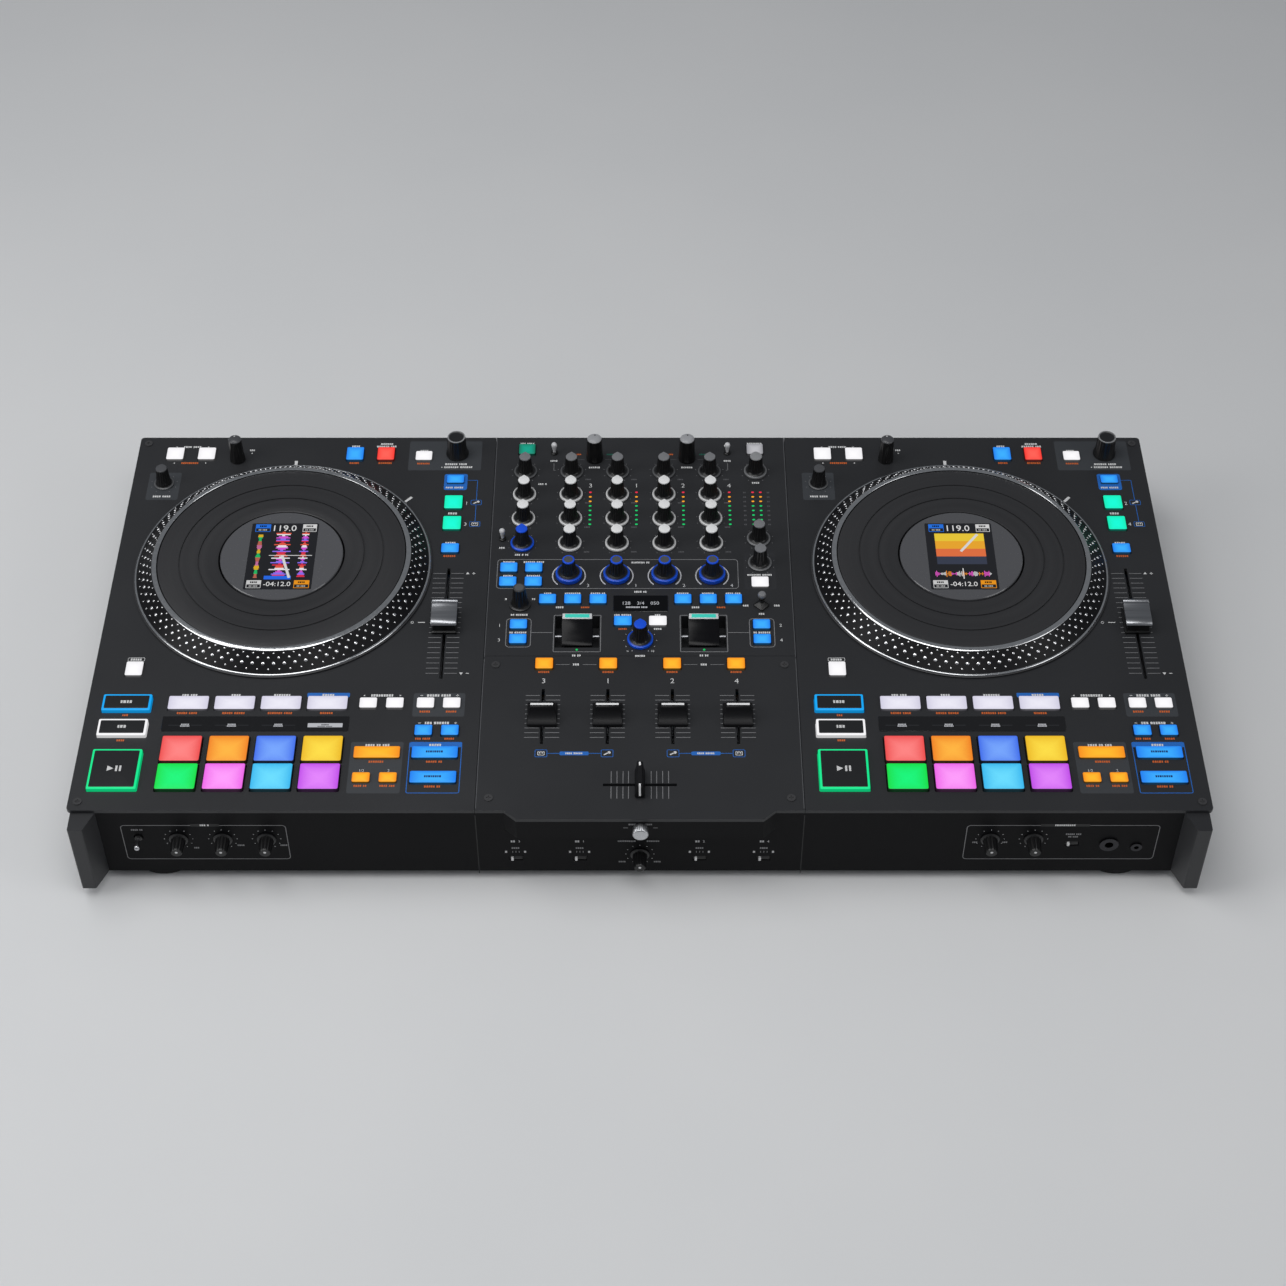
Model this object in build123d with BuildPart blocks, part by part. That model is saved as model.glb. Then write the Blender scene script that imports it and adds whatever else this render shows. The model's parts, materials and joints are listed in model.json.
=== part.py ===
from build123d import *
import os

# A DJ controller: two motor-driven decks, one each side of a four-channel mixer, in a low case.
# Millimetres. X runs right, Y to the back, Z up. The floor is z = 0 and the case is centred on x = y = 0.
# Places on the top are given as (across, back): back is measured from the plates' front edge,
# and across from a deck's own left edge, or from the centre line on the mixer.

# Case
WIDTH = 830.0
PLATE_DEPTH = 397.5
FRONT = -190.5
PLATE_TOP = 81.0
PLATE = 3.0
PLATE_LOW = PLATE_TOP - PLATE
DECK_WIDTH = 295.5
MIXER_HALF = WIDTH / 2 - DECK_WIDTH
FADER_SEAM = 151.5
SEAM_GAP = 0.3
CASE_LOW = 10.0
SHEET = 2.5
PANEL = 3.0
CHEEK_OUT = 412.5
CHEEK_IN = 404.5
CASE_REAR = 205.0
HORN_FRONT = -207.0
HORN_IN = 402.0
HORN_ROOT = 394.8
NOSE_DEPTH = 8.0
NOSE_HALF = 89.5
NOSE_ROOT = 98.5
HOOD_LOW = 59.0
FOOT_RADIUS = 27.0
FOOT_SPOTS = [(-356, 31), (356, 31), (-356, 365), (356, 365), (0, 365)]

# Controls
GAP = 0.5
CAP_CORNER = 1.2
CAP_FOOT = 70.0
FLANGE = 1.2
FLANGE_LOW = 75.0
FLANGE_HIGH = 76.8
BUTTON_RISE = 2.2
PAD_RISE = 2.6
PAD_CORNER = 1.6
SHAFT_RADIUS = 3.0
SHAFT_GAP = 0.4
SHAFT_LOW = 70.0
KNOB_LIFT = 0.4
SLOT = 2.4
STEM_THIN = 1.4
STEM_LONG = 6.0
STEM_LOW = 62.0
TRACK_LOW = 58.0
TRACK_HIGH = 70.0
TRACK_HALF = 6.0

# Inside
BOARD = 1.6
BOARD_LOW = 22.0
DECK_BOARD_LOW = 66.0
MIXER_BOARD_LOW = 60.0
SHOULDER_HIGH = 50.0
STATOR = 13.0
BEARING_LOW = 63.0

# Deck, across from its left edge
DECKS = {"left": -WIDTH / 2, "right": WIDTH / 2 - DECK_WIDTH}
PLATTER_SPOT = (133.1, 245.5)
PLATTER_RADIUS = 117.6
COLLAR_BORE = 30.05
COLLAR_OUT = 34.0
RECORD_RADIUS = 97.3
RECORD_HOLE = 49.5
DISPLAY_RADIUS = 48.2
BEARING_RADIUS = 30.0
RECORD_LOW = 91.0
RECORD_HIGH = 94.8
DISPLAY_LOW = 87.3
DISPLAY_HIGH = 95.5
PAD_COLUMNS = (76.0, 110.8, 145.6, 180.4)
PAD_ROWS = (30.3, 57.0)
PAD_SIZE = (30.0, 25.0)
PLAY_BUTTON = (30.0, 37.0, 36.5, 38.0)
CUE_BUTTON = (30.0, 77.5, 36.5, 16.0)
SYNC_BUTTON = (30.0, 102.0, 36.5, 16.0)
DECK_BUTTONS = [(column, 102.5, 30.0, 13.0) for column in PAD_COLUMNS] + [
    (30.5, 137.0, 13.0, 14.0),
    (211.0, 102.5, 13.0, 10.0),
    (231.0, 102.5, 13.0, 10.0),
    (254.0, 102.5, 13.0, 10.0),
    (273.7, 102.5, 13.0, 10.0),
    (254.0, 75.5, 13.0, 10.0),
    (273.7, 75.5, 13.0, 10.0),
    (221.0, 54.0, 34.0, 11.0),
    (211.0, 30.0, 13.0, 9.0),
    (230.7, 30.0, 13.0, 9.0),
    (263.7, 54.0, 34.0, 11.0),
    (263.7, 30.3, 34.0, 11.0),
    (31.0, 376.5, 14.0, 14.0),
    (57.0, 376.5, 14.0, 14.0),
    (179.5, 376.5, 14.0, 15.0),
    (205.0, 376.5, 14.0, 15.0),
    (236.5, 374.0, 13.5, 10.5),
    (264.0, 346.0, 14.0, 9.0),
    (263.7, 319.0, 14.5, 15.0),
    (263.7, 295.0, 14.5, 15.0),
    (263.7, 266.5, 14.0, 10.0),
]
LABEL_STRIP = (128.2, 82.7, 139.5, 14.6)
PITCH_ACROSS = 264.0
PITCH_SLOT = (128.0, 245.0)
PITCH_CAP = (20.0, 26.0, 12.5)
SCROLL_KNOB = (264.0, 377.5, 9.25, 7.0, 19.5)
STOP_KNOB = (26.0, 342.0, 8.0, 5.5, 17.6)
MODE_KNOB = (83.0, 371.0, 6.0, 5.5, 24.0)

# Mixer, across from the centre line
CHANNELS = (-56.1, -18.5, 19.3, 56.8)
MIC_COLUMN = -94.0
KNOB_ROWS = (356.0, 328.5, 300.5, 272.5)
EQ_KNOB = (9.4, 5.4, 17.5)
MIXER_KNOBS = [(x, back) + EQ_KNOB for x in (MIC_COLUMN,) + CHANNELS for back in KNOB_ROWS]
MIXER_KNOBS += [(94.7, 278.0) + EQ_KNOB, (94.8, 250.7) + EQ_KNOB]
MIXER_KNOBS += [(-37.5, 372.0, 7.0, 6.0, 24.0), (38.5, 372.0, 7.0, 6.0, 24.0)]
FX_KNOBS = [(x, 237.0, 10.4, 5.6, 18.5) for x in CHANNELS]
MAIN_KNOB = (94.5, 356.0, 9.4, 5.6, 18.0)
DEPTH_KNOB = (0.2, 167.5, 10.0, 5.8, 18.9)
SELECT_KNOB = (-93.6, 206.0, 8.6, 5.6, 19.0)
MIXER_BUTTONS = [
    (-93.5, 382.0, 13.5, 12.0),
    (94.8, 382.0, 13.5, 12.0),
    (-103.7, 245.0, 13.5, 10.0),
    (-84.0, 245.0, 13.5, 10.0),
    (-104.0, 229.5, 13.5, 10.0),
    (-84.0, 229.5, 13.5, 10.0),
    (94.3, 229.0, 13.5, 11.0),
    (-13.3, 187.0, 13.7, 10.0),
    (13.8, 187.0, 13.7, 10.0),
]
MIXER_BUTTONS += [(x, 210.5, 13.2, 10.0) for x in (-72.2, -52.6, -32.8, 33.5, 53.3, 73.0)]
MIXER_BUTTONS += [(x, back, 13.3, 9.7) for x in (-94.0, 94.0) for back in (168.0, 183.5)]
CHANNEL_FADERS = (-73.0, -24.2, 24.5, 73.2)
CHANNEL_CUES = [(x, 142.5, 13.5, 11.0) for x in CHANNEL_FADERS]
CHANNEL_SLOT = (63.0, 117.5)
CHANNEL_CAP = (23.0, 22.0, 12.5)
CROSS_BACK = 24.0
CROSS_HALF = 27.0
CROSS_CAP = (7.5, 26.0, 12.5)
METER_COLUMNS = (-40.5, -3.0, 35.0, 72.5, 91.5, 97.8)
METER_START = 294.5
METER_STEP = 5.29
LIGHTS = [(x, METER_START + step * METER_STEP, 2.8, 2.2) for x in METER_COLUMNS for step in range(8)]
FX_SCREEN = (0.5, 206.6, 43.0, 17.5)
PADDLE_CENTRES = (-48.5, 49.2)
PADDLE_WELL = (34.2, 160.0, 193.0)
PADDLE_WIDTH = 24.0
PADDLE_PIVOT = (176.0, 76.0)
PADDLE_PIN = 1.5
PADDLE_BORE = 1.55
WELL_LOW = 66.0
WELL_WALL = 1.5
TOGGLE_SPOTS = [(-71.0, 378.7), (71.9, 378.7), (-110.0, 278.0)]
PAN_SPOT = (94.6, 204.5)
FADER_SCREWS = [(-110, 142), (110, 142), (-110, 11.5), (110, 11.5)]
SCREW_SPOTS = FADER_SCREWS + [(across, back) for across in (-408, 408) for back in (8, 390)]

# Front face: across, height and size of what stands on it or goes into it
FRONT_KNOBS = [(-338.0, 48.0), (-305.5, 48.0), (-273.5, 48.0), (256.6, 48.0), (288.5, 48.0), (0.0, 30.0)]
FRONT_KNOB_RADIUS = 7.0
FRONT_KNOB_LENGTH = 13.0
SLIDE_SWITCHES = [(-91.4, 25.0), (-44.2, 25.0), (44.1, 25.0), (91.4, 25.0), (317.3, 42.5)]
FRONT_TOGGLE = (-367.0, 50.0)
TENSION_KNOB = (0.5, 71.0)
BIG_JACK = (344.5, 42.0)
BIG_JACK_RADIUS = 3.2
BIG_JACK_DEPTH = 30.0
SMALL_JACK = (365.0, 39.0)
SMALL_JACK_RADIUS = 1.8
SMALL_JACK_DEPTH = 16.0

# Rear face
RCA_SPOTS = [(x, z) for x in (-150.0, -118.0, -86.0, -54.0, -12.0) for z in (34.0, 56.0)]
USB_SPOTS = [(60.0, 44.0), (100.0, 44.0)]
INLET = (290.0, 44.0)
ROCKER = (335.0, 44.0)

BASE = (Align.CENTER, Align.CENTER, Align.MIN)


def place(deck, spot):
    """A deck's spot as whole-object x and y, with the sizes that follow it."""
    return (DECKS[deck] + spot[0], FRONT + spot[1]) + tuple(spot[2:])


def mid(spot):
    """A mixer spot as whole-object x and y, with the sizes that follow it."""
    return (spot[0], FRONT + spot[1]) + tuple(spot[2:])


def block(x, y, z, mode=Mode.ADD):
    """A box between two x, two y and two z values."""
    low, high = zip(x, y, z)
    with Locations(tuple((a + b) / 2 for a, b in zip(low, high))):
        Box(*(b - a for a, b in zip(low, high)), mode=mode)


def outlines(spots, height, grow=0.0, corner=CAP_CORNER):
    """Rounded rectangles round the spots, at a height, each side moved out by grow."""
    with BuildSketch(Plane.XY.offset(height)) as sketch:
        for x, y, width, depth in spots:
            with Locations((x, y)):
                RectangleRounded(width + 2 * grow, depth + 2 * grow, corner)
    return sketch.sketch


def buttons(spots, rise=BUTTON_RISE):
    """Caps through the plate, each with a flange under the plate that keeps it in."""
    extrude(outlines(spots, CAP_FOOT), amount=PLATE_TOP + rise - CAP_FOOT)
    extrude(outlines(spots, FLANGE_LOW, FLANGE), amount=FLANGE_HIGH - FLANGE_LOW)


def windows(spots):
    """The plate's holes for button caps."""
    extrude(outlines(spots, PLATE_TOP, GAP), amount=-PLATE, mode=Mode.SUBTRACT)


def knobs(spots):
    """Knobs with a flared skirt and a tapered body, each on a shaft through the plate."""
    for x, y, skirt, top, height in spots:
        with Locations((x, y, SHAFT_LOW)):
            Cylinder(SHAFT_RADIUS, PLATE_TOP + KNOB_LIFT - SHAFT_LOW, align=BASE)
        with Locations((x, y, PLATE_TOP + KNOB_LIFT)):
            Cylinder(skirt, 1.2, align=BASE)
        with Locations((x, y, PLATE_TOP + KNOB_LIFT + 1.2)):
            Cone(skirt - 0.6, top + 0.8, 3.0, align=BASE)
        with Locations((x, y, PLATE_TOP + KNOB_LIFT + 4.2)):
            Cone(top + 0.8, top, height - 4.2 - KNOB_LIFT, align=BASE)


def shaft_holes(spots):
    """The plate's round holes for knob shafts."""
    with Locations(*[(spot[0], spot[1], PLATE_LOW) for spot in spots]):
        Cylinder(SHAFT_RADIUS + SHAFT_GAP, PLATE, align=BASE, mode=Mode.SUBTRACT)


def finish(piece, name):
    """Label the finished piece and write it to its own file."""
    piece.part.label = name
    export_step(piece.part, f"parts/{name}.step")
    print(name, round(piece.part.volume))


os.makedirs("parts", exist_ok=True)

# Case: a sheet tray, front and rear panels between two end cheeks, on rubber feet

with BuildPart() as bottom_tray:
    block((-CHEEK_IN, CHEEK_IN), (FRONT + PANEL, CASE_REAR - PANEL), (CASE_LOW, CASE_LOW + SHEET))
    for side in (-1, 1):
        edges = sorted((side * CHEEK_IN, side * (CHEEK_IN - SHEET)))
        block(edges, (FRONT + PANEL, CASE_REAR - PANEL), (CASE_LOW + SHEET, CASE_LOW + 14))
    for across, back in FADER_SCREWS:
        with Locations((across, FRONT + back, CASE_LOW + SHEET)):
            Cylinder(4.0, PLATE_LOW - CASE_LOW - SHEET, align=BASE)
finish(bottom_tray, "bottom_tray")

with BuildPart() as front_panel:
    block((-CHEEK_IN, CHEEK_IN), (FRONT, FRONT + PANEL), (CASE_LOW, PLATE_LOW))
    with BuildSketch(Plane.XY.offset(HOOD_LOW)):
        with BuildLine():
            Polyline(
                (-NOSE_ROOT, FRONT),
                (-NOSE_HALF, FRONT - NOSE_DEPTH),
                (NOSE_HALF, FRONT - NOSE_DEPTH),
                (NOSE_ROOT, FRONT),
                close=True,
            )
        make_face()
    extrude(amount=PLATE_LOW - HOOD_LOW)
    block(
        (-NOSE_HALF + 3, NOSE_HALF - 3),
        (FRONT - NOSE_DEPTH + PANEL, FRONT + PANEL),
        (HOOD_LOW + PANEL, PLATE_LOW - PANEL),
        Mode.SUBTRACT,
    )
    holes = [spot + (SHAFT_RADIUS + SHAFT_GAP,) for spot in FRONT_KNOBS + [TENSION_KNOB]]
    holes += [BIG_JACK + (5.5,), SMALL_JACK + (3.0,), FRONT_TOGGLE + (3.5,)]
    for across, height, radius in holes:
        with Locations(Location((across, FRONT, height), (90, 0, 0))):
            Cylinder(radius, 30, mode=Mode.SUBTRACT)
    for across, height in SLIDE_SWITCHES:
        block(
            (across - 5, across + 5), (FRONT, FRONT + PANEL), (height - 2.5, height + 2.5), Mode.SUBTRACT
        )
finish(front_panel, "front_panel")

with BuildPart() as rear_panel:
    block((-CHEEK_IN, CHEEK_IN), (CASE_REAR - PANEL, CASE_REAR), (CASE_LOW, PLATE_LOW))
    for across, height in RCA_SPOTS:
        with Locations(Location((across, CASE_REAR, height), (90, 0, 0))):
            Cylinder(5.5, 20, mode=Mode.SUBTRACT)
    for across, height, half_x, half_z in [spot + (6.5, 6.0) for spot in USB_SPOTS] + [
        INLET + (14.0, 10.5),
        ROCKER + (7.0, 10.5),
    ]:
        block(
            (across - half_x, across + half_x),
            (CASE_REAR - PANEL, CASE_REAR),
            (height - half_z, height + half_z),
            Mode.SUBTRACT,
        )
    for row in range(3):
        for column in range(12):
            start = 150.0 + column * 9.0
            block(
                (start, start + 5.5),
                (CASE_REAR - PANEL, CASE_REAR),
                (32.0 + row * 10.0, 34.0 + row * 10.0),
                Mode.SUBTRACT,
            )
finish(rear_panel, "rear_panel")

for side, name in ((-1, "left_end_cheek"), (1, "right_end_cheek")):
    with BuildPart() as cheek:
        with BuildSketch(Plane.XY.offset(CASE_LOW)):
            with BuildLine():
                Polyline(
                    (side * CHEEK_OUT, HORN_FRONT),
                    (side * HORN_IN, HORN_FRONT),
                    (side * HORN_ROOT, FRONT),
                    (side * CHEEK_IN, FRONT),
                    (side * CHEEK_IN, CASE_REAR),
                    (side * CHEEK_OUT, CASE_REAR),
                    close=True,
                )
            make_face()
        extrude(amount=PLATE_LOW - CASE_LOW)
        front_edges = cheek.edges().filter_by(Axis.Z).group_by(Axis.Y)[0]
        fillet(front_edges, 1.5)
    finish(cheek, name)

with BuildPart() as feet:
    with Locations(*[(across, FRONT + back, 0) for across, back in FOOT_SPOTS]):
        Cylinder(FOOT_RADIUS, CASE_LOW, align=BASE)
    chamfer(feet.faces().filter_by(Axis.Z).group_by(Axis.Z)[0].edges(), 1.0)
finish(feet, "feet")

# Top: two deck plates, the mixer plate with its paddle wells, and the fader plate in front

for deck in DECKS:
    left = DECKS[deck]
    with BuildPart() as deck_plate:
        inner = SEAM_GAP if deck == "right" else 0
        outer = SEAM_GAP if deck == "left" else 0
        block((left + inner, left + DECK_WIDTH - outer), (FRONT, FRONT + PLATE_DEPTH), (PLATE_LOW, PLATE_TOP))
        outer_corners = deck_plate.edges().filter_by(Axis.Z).group_by(Axis.X)[0 if deck == "left" else -1]
        fillet(outer_corners, 3.0)
        pads = [place(deck, (u, v) + PAD_SIZE) for u in PAD_COLUMNS for v in PAD_ROWS]
        large = [place(deck, spot) for spot in (PLAY_BUTTON, CUE_BUTTON, SYNC_BUTTON)]
        windows(pads + large + [place(deck, spot) for spot in DECK_BUTTONS])
        shaft_holes([place(deck, spot) for spot in (SCROLL_KNOB, STOP_KNOB, MODE_KNOB)])
        platter_x, platter_y = place(deck, PLATTER_SPOT)
        with Locations((platter_x, platter_y, PLATE_LOW)):
            Cylinder(COLLAR_OUT + 3, PLATE, align=BASE, mode=Mode.SUBTRACT)
        block(
            (left + PITCH_ACROSS - SLOT / 2, left + PITCH_ACROSS + SLOT / 2),
            (FRONT + PITCH_SLOT[0], FRONT + PITCH_SLOT[1]),
            (PLATE_LOW, PLATE_TOP),
            Mode.SUBTRACT,
        )
    finish(deck_plate, f"{deck}_deck_plate")

with BuildPart() as mixer_plate:
    half = MIXER_HALF
    block((-half, half), (FRONT + FADER_SEAM, FRONT + PLATE_DEPTH), (PLATE_LOW, PLATE_TOP))
    wells = []
    for centre in PADDLE_CENTRES:
        reach = PADDLE_WELL[0] / 2
        x = (centre - reach, centre + reach)
        y = (FRONT + PADDLE_WELL[1], FRONT + PADDLE_WELL[2])
        wall = WELL_WALL
        block((x[0] - wall, x[1] + wall), (y[0] - wall, y[1] + wall), (WELL_LOW, PLATE_LOW))
        block(x, y, (WELL_LOW + wall, PLATE_TOP), Mode.SUBTRACT)
        with Locations(Location((centre, FRONT + PADDLE_PIVOT[0], PADDLE_PIVOT[1]), (0, 90, 0))):
            Cylinder(PADDLE_BORE, PADDLE_WELL[0] + 4 * wall, mode=Mode.SUBTRACT)
    windows([mid(spot) for spot in MIXER_BUTTONS])
    shaft_holes([mid(spot) for spot in MIXER_KNOBS + FX_KNOBS + [MAIN_KNOB, DEPTH_KNOB, SELECT_KNOB]])
finish(mixer_plate, "mixer_plate")

with BuildPart() as fader_plate:
    with BuildSketch(Plane.XY.offset(PLATE_LOW)):
        with BuildLine():
            Polyline(
                (-MIXER_HALF, FRONT),
                (-NOSE_ROOT, FRONT),
                (-NOSE_HALF, FRONT - NOSE_DEPTH),
                (NOSE_HALF, FRONT - NOSE_DEPTH),
                (NOSE_ROOT, FRONT),
                (MIXER_HALF, FRONT),
                (MIXER_HALF, FRONT + FADER_SEAM - SEAM_GAP),
                (-MIXER_HALF, FRONT + FADER_SEAM - SEAM_GAP),
                close=True,
            )
        make_face()
    extrude(amount=PLATE)
    windows([mid(spot) for spot in CHANNEL_CUES])
    for across in CHANNEL_FADERS:
        block(
            (across - SLOT / 2, across + SLOT / 2),
            (FRONT + CHANNEL_SLOT[0], FRONT + CHANNEL_SLOT[1]),
            (PLATE_LOW, PLATE_TOP),
            Mode.SUBTRACT,
        )
    block(
        (-CROSS_HALF, CROSS_HALF),
        (FRONT + CROSS_BACK - SLOT / 2, FRONT + CROSS_BACK + SLOT / 2),
        (PLATE_LOW, PLATE_TOP),
        Mode.SUBTRACT,
    )
finish(fader_plate, "fader_plate")

with BuildPart() as plate_screws:
    with Locations(*[(across, FRONT + back, PLATE_TOP) for across, back in SCREW_SPOTS]):
        Cylinder(3.2, 0.8, align=BASE)
    with Locations(*[(across, FRONT + back, PLATE_TOP + 0.3) for across, back in SCREW_SPOTS]):
        Box(3.6, 0.8, 0.5, align=BASE, mode=Mode.SUBTRACT)
        Box(0.8, 3.6, 0.5, align=BASE, mode=Mode.SUBTRACT)
finish(plate_screws, "plate_screws")

with BuildPart() as indicator_windows:
    strips = [place(deck, LABEL_STRIP) for deck in DECKS] + [mid(FX_SCREEN)]
    extrude(outlines(strips, PLATE_TOP, corner=1.0), amount=0.4)
    extrude(outlines([mid(spot) for spot in LIGHTS], PLATE_TOP, corner=1.0), amount=0.5)
finish(indicator_windows, "indicator_windows")

# Inside: boards, power supply, platter motors, bearing hubs and fader tracks

with BuildPart() as circuit_boards:
    block((-180, 180), (FRONT + 156, FRONT + 356), (BOARD_LOW, BOARD_LOW + BOARD))
    middle = FRONT + 256
    with Locations((0, middle, BOARD_LOW + BOARD)):
        with GridLocations(80, 60, 4, 3):
            Box(22, 22, 2.4, align=BASE)
    with Locations((0, middle, CASE_LOW + SHEET)):
        with GridLocations(330, 180, 2, 2):
            Cylinder(3.0, BOARD_LOW - CASE_LOW - SHEET, align=BASE)
    for deck in DECKS:
        left = DECKS[deck]
        high = (DECK_BOARD_LOW, DECK_BOARD_LOW + BOARD)
        block((left + 14, left + 284), (FRONT + 12, FRONT + 118), high)
        block((left + 14, left + 284), (FRONT + 366, FRONT + 392), high)
        block((left + 252, left + 284), (FRONT + 258, FRONT + 366), high)
    block((-106, 106), (FRONT + 215, FRONT + 375), (MIXER_BOARD_LOW, MIXER_BOARD_LOW + BOARD))
finish(circuit_boards, "circuit_boards")

with BuildPart() as power_supply:
    block((250, 380), (FRONT + 312, FRONT + 362), (CASE_LOW + SHEET, 46))
    for fin in range(10):
        start = 256.0 + fin * 12.5
        block((start, start + 2.0), (FRONT + 314, FRONT + 360), (46, 52))
finish(power_supply, "power_supply")

with BuildPart() as jog_hubs:
    for deck in DECKS:
        x, y = place(deck, PLATTER_SPOT)
        for radius, low, high in (
            (62.0, CASE_LOW + SHEET, 16.0),
            (26.0, 16.0, BEARING_LOW),
            (40.0, 46.0, SHOULDER_HIGH),
            (BEARING_RADIUS, BEARING_LOW, DISPLAY_LOW),
        ):
            with Locations((x, y, low)):
                Cylinder(radius, high - low, align=BASE)
        with Locations((x, y, CASE_LOW + SHEET)):
            Cylinder(9.0, DISPLAY_LOW - CASE_LOW - SHEET, align=BASE, mode=Mode.SUBTRACT)
finish(jog_hubs, "jog_hubs")

with BuildPart() as motor_stators:
    for deck in DECKS:
        x, y = place(deck, PLATTER_SPOT)
        with Locations((x, y, SHOULDER_HIGH)):
            Cylinder(48.0, STATOR, align=BASE)
            with PolarLocations(52.0, 12):
                Box(10, 9, STATOR, align=BASE)
            Cylinder(27.0, STATOR, align=BASE, mode=Mode.SUBTRACT)
finish(motor_stators, "motor_stators")

with BuildPart() as jog_displays:
    for deck in DECKS:
        x, y = place(deck, PLATTER_SPOT)
        with Locations((x, y, DISPLAY_LOW)):
            Cylinder(DISPLAY_RADIUS, DISPLAY_HIGH - DISPLAY_LOW, align=BASE)
    chamfer(jog_displays.faces().filter_by(Axis.Z).group_by(Axis.Z)[-1].edges(), 0.6)
finish(jog_displays, "jog_displays")

with BuildPart() as fader_tracks:
    tracks = []
    for deck in DECKS:
        across = DECKS[deck] + PITCH_ACROSS
        tracks.append(((across - TRACK_HALF, across + TRACK_HALF), PITCH_SLOT))
    for across in CHANNEL_FADERS:
        tracks.append(((across - TRACK_HALF, across + TRACK_HALF), CHANNEL_SLOT))
    for x, (near, far) in tracks:
        centre = (x[0] + x[1]) / 2
        block(x, (FRONT + near - 4, FRONT + far + 4), (TRACK_LOW, TRACK_HIGH))
        block(
            (centre - SLOT / 2, centre + SLOT / 2),
            (FRONT + near, FRONT + far),
            (STEM_LOW - 2, TRACK_HIGH),
            Mode.SUBTRACT,
        )
    cross = FRONT + CROSS_BACK
    deep = (cross - TRACK_HALF, cross + TRACK_HALF)
    block((-CROSS_HALF - 4, CROSS_HALF + 4), deep, (TRACK_LOW, TRACK_HIGH))
    block(
        (-CROSS_HALF, CROSS_HALF),
        (cross - SLOT / 2, cross + SLOT / 2),
        (STEM_LOW - 2, TRACK_HIGH),
        Mode.SUBTRACT,
    )
finish(fader_tracks, "fader_tracks")

# Sockets

with BuildPart() as front_jacks:
    for (across, height), radius, barrel, depth, lip in (
        (BIG_JACK, BIG_JACK_RADIUS, 5.4, BIG_JACK_DEPTH, 7.0),
        (SMALL_JACK, SMALL_JACK_RADIUS, 2.9, SMALL_JACK_DEPTH, 4.2),
    ):
        axis = Plane((across, FRONT, height), z_dir=(0, 1, 0))
        with Locations(axis):
            Cylinder(barrel, depth, align=BASE)
        with Locations(axis.offset(-1.2)):
            Cylinder(lip, 1.2, align=BASE)
            Cylinder(radius, depth, align=BASE, mode=Mode.SUBTRACT)
finish(front_jacks, "front_jacks")

with BuildPart() as rear_sockets:
    for across, height in RCA_SPOTS:
        axis = Plane((across, CASE_REAR - 16, height), z_dir=(0, 1, 0))
        with Locations(axis):
            Cylinder(5.3, 17.5, align=BASE)
            Cylinder(4.15, 18.0, align=BASE)
            Cylinder(1.6, 18.0, align=BASE, mode=Mode.SUBTRACT)
    for across, height in USB_SPOTS:
        block((across - 6.3, across + 6.3), (CASE_REAR - 16, CASE_REAR + 0.6), (height - 5.8, height + 5.8))
        mouth = (across - 4.3, across + 4.3)
        block(mouth, (CASE_REAR - 10, CASE_REAR + 0.6), (height - 4, height + 4), Mode.SUBTRACT)
    across, height = INLET
    block((across - 13.8, across + 13.8), (CASE_REAR - 20, CASE_REAR + 1.2), (height - 10.3, height + 10.3))
    mouth = (across - 12, across + 12)
    block(mouth, (CASE_REAR - 16, CASE_REAR + 1.2), (height - 8, height + 8), Mode.SUBTRACT)
    across, height = ROCKER
    block((across - 6.8, across + 6.8), (CASE_REAR - 14, CASE_REAR + 1.6), (height - 10.3, height + 10.3))
finish(rear_sockets, "rear_sockets")

# Knobs and switches that share a node

with BuildPart() as mixer_knobs:
    knobs([mid(spot) for spot in MIXER_KNOBS] + [place(deck, MODE_KNOB) for deck in DECKS])
finish(mixer_knobs, "mixer_knobs")

with BuildPart() as front_knobs:
    for across, height in FRONT_KNOBS:
        face = Plane((across, FRONT - KNOB_LIFT, height), z_dir=(0, -1, 0))
        with Locations(face):
            Cylinder(FRONT_KNOB_RADIUS, FRONT_KNOB_LENGTH, align=BASE)
        with Locations(face.offset(-12)):
            Cylinder(SHAFT_RADIUS, 12, align=BASE)
    chamfer(front_knobs.faces().filter_by(Axis.Y).group_by(Axis.Y)[0].edges(), 1.0)
finish(front_knobs, "front_knobs")

with BuildPart() as switches:
    for across, back in TOGGLE_SPOTS:
        with Locations((across, FRONT + back, PLATE_TOP)):
            Cylinder(3.4, 1.6, align=BASE)
            Cylinder(1.3, 9.0, align=BASE)
        with Locations((across, FRONT + back, PLATE_TOP + 9.0)):
            Sphere(2.4)
    with Locations((PAN_SPOT[0], FRONT + PAN_SPOT[1], PLATE_TOP)):
        Cylinder(6.5, 2.0, align=BASE)
        Cylinder(1.8, 14.0, align=BASE)
        Box(9.0, 9.0, 6.0, rotation=(0, 0, 45), align=BASE)
    for across, height in SLIDE_SWITCHES:
        block((across - 4.8, across + 4.8), (FRONT + 0.4, FRONT + 6), (height - 2.3, height + 2.3))
        block((across - 1.8, across + 1.8), (FRONT - 1.5, FRONT + 0.4), (height - 1.8, height + 1.8))
    toggle = Plane((FRONT_TOGGLE[0], FRONT + 8, FRONT_TOGGLE[1]), z_dir=(0, -1, 0))
    with Locations(toggle):
        Cylinder(3.2, 9.5, align=BASE)
        Cylinder(1.5, 20.0, align=BASE)
finish(switches, "switches")

# Deck controls that move

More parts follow.
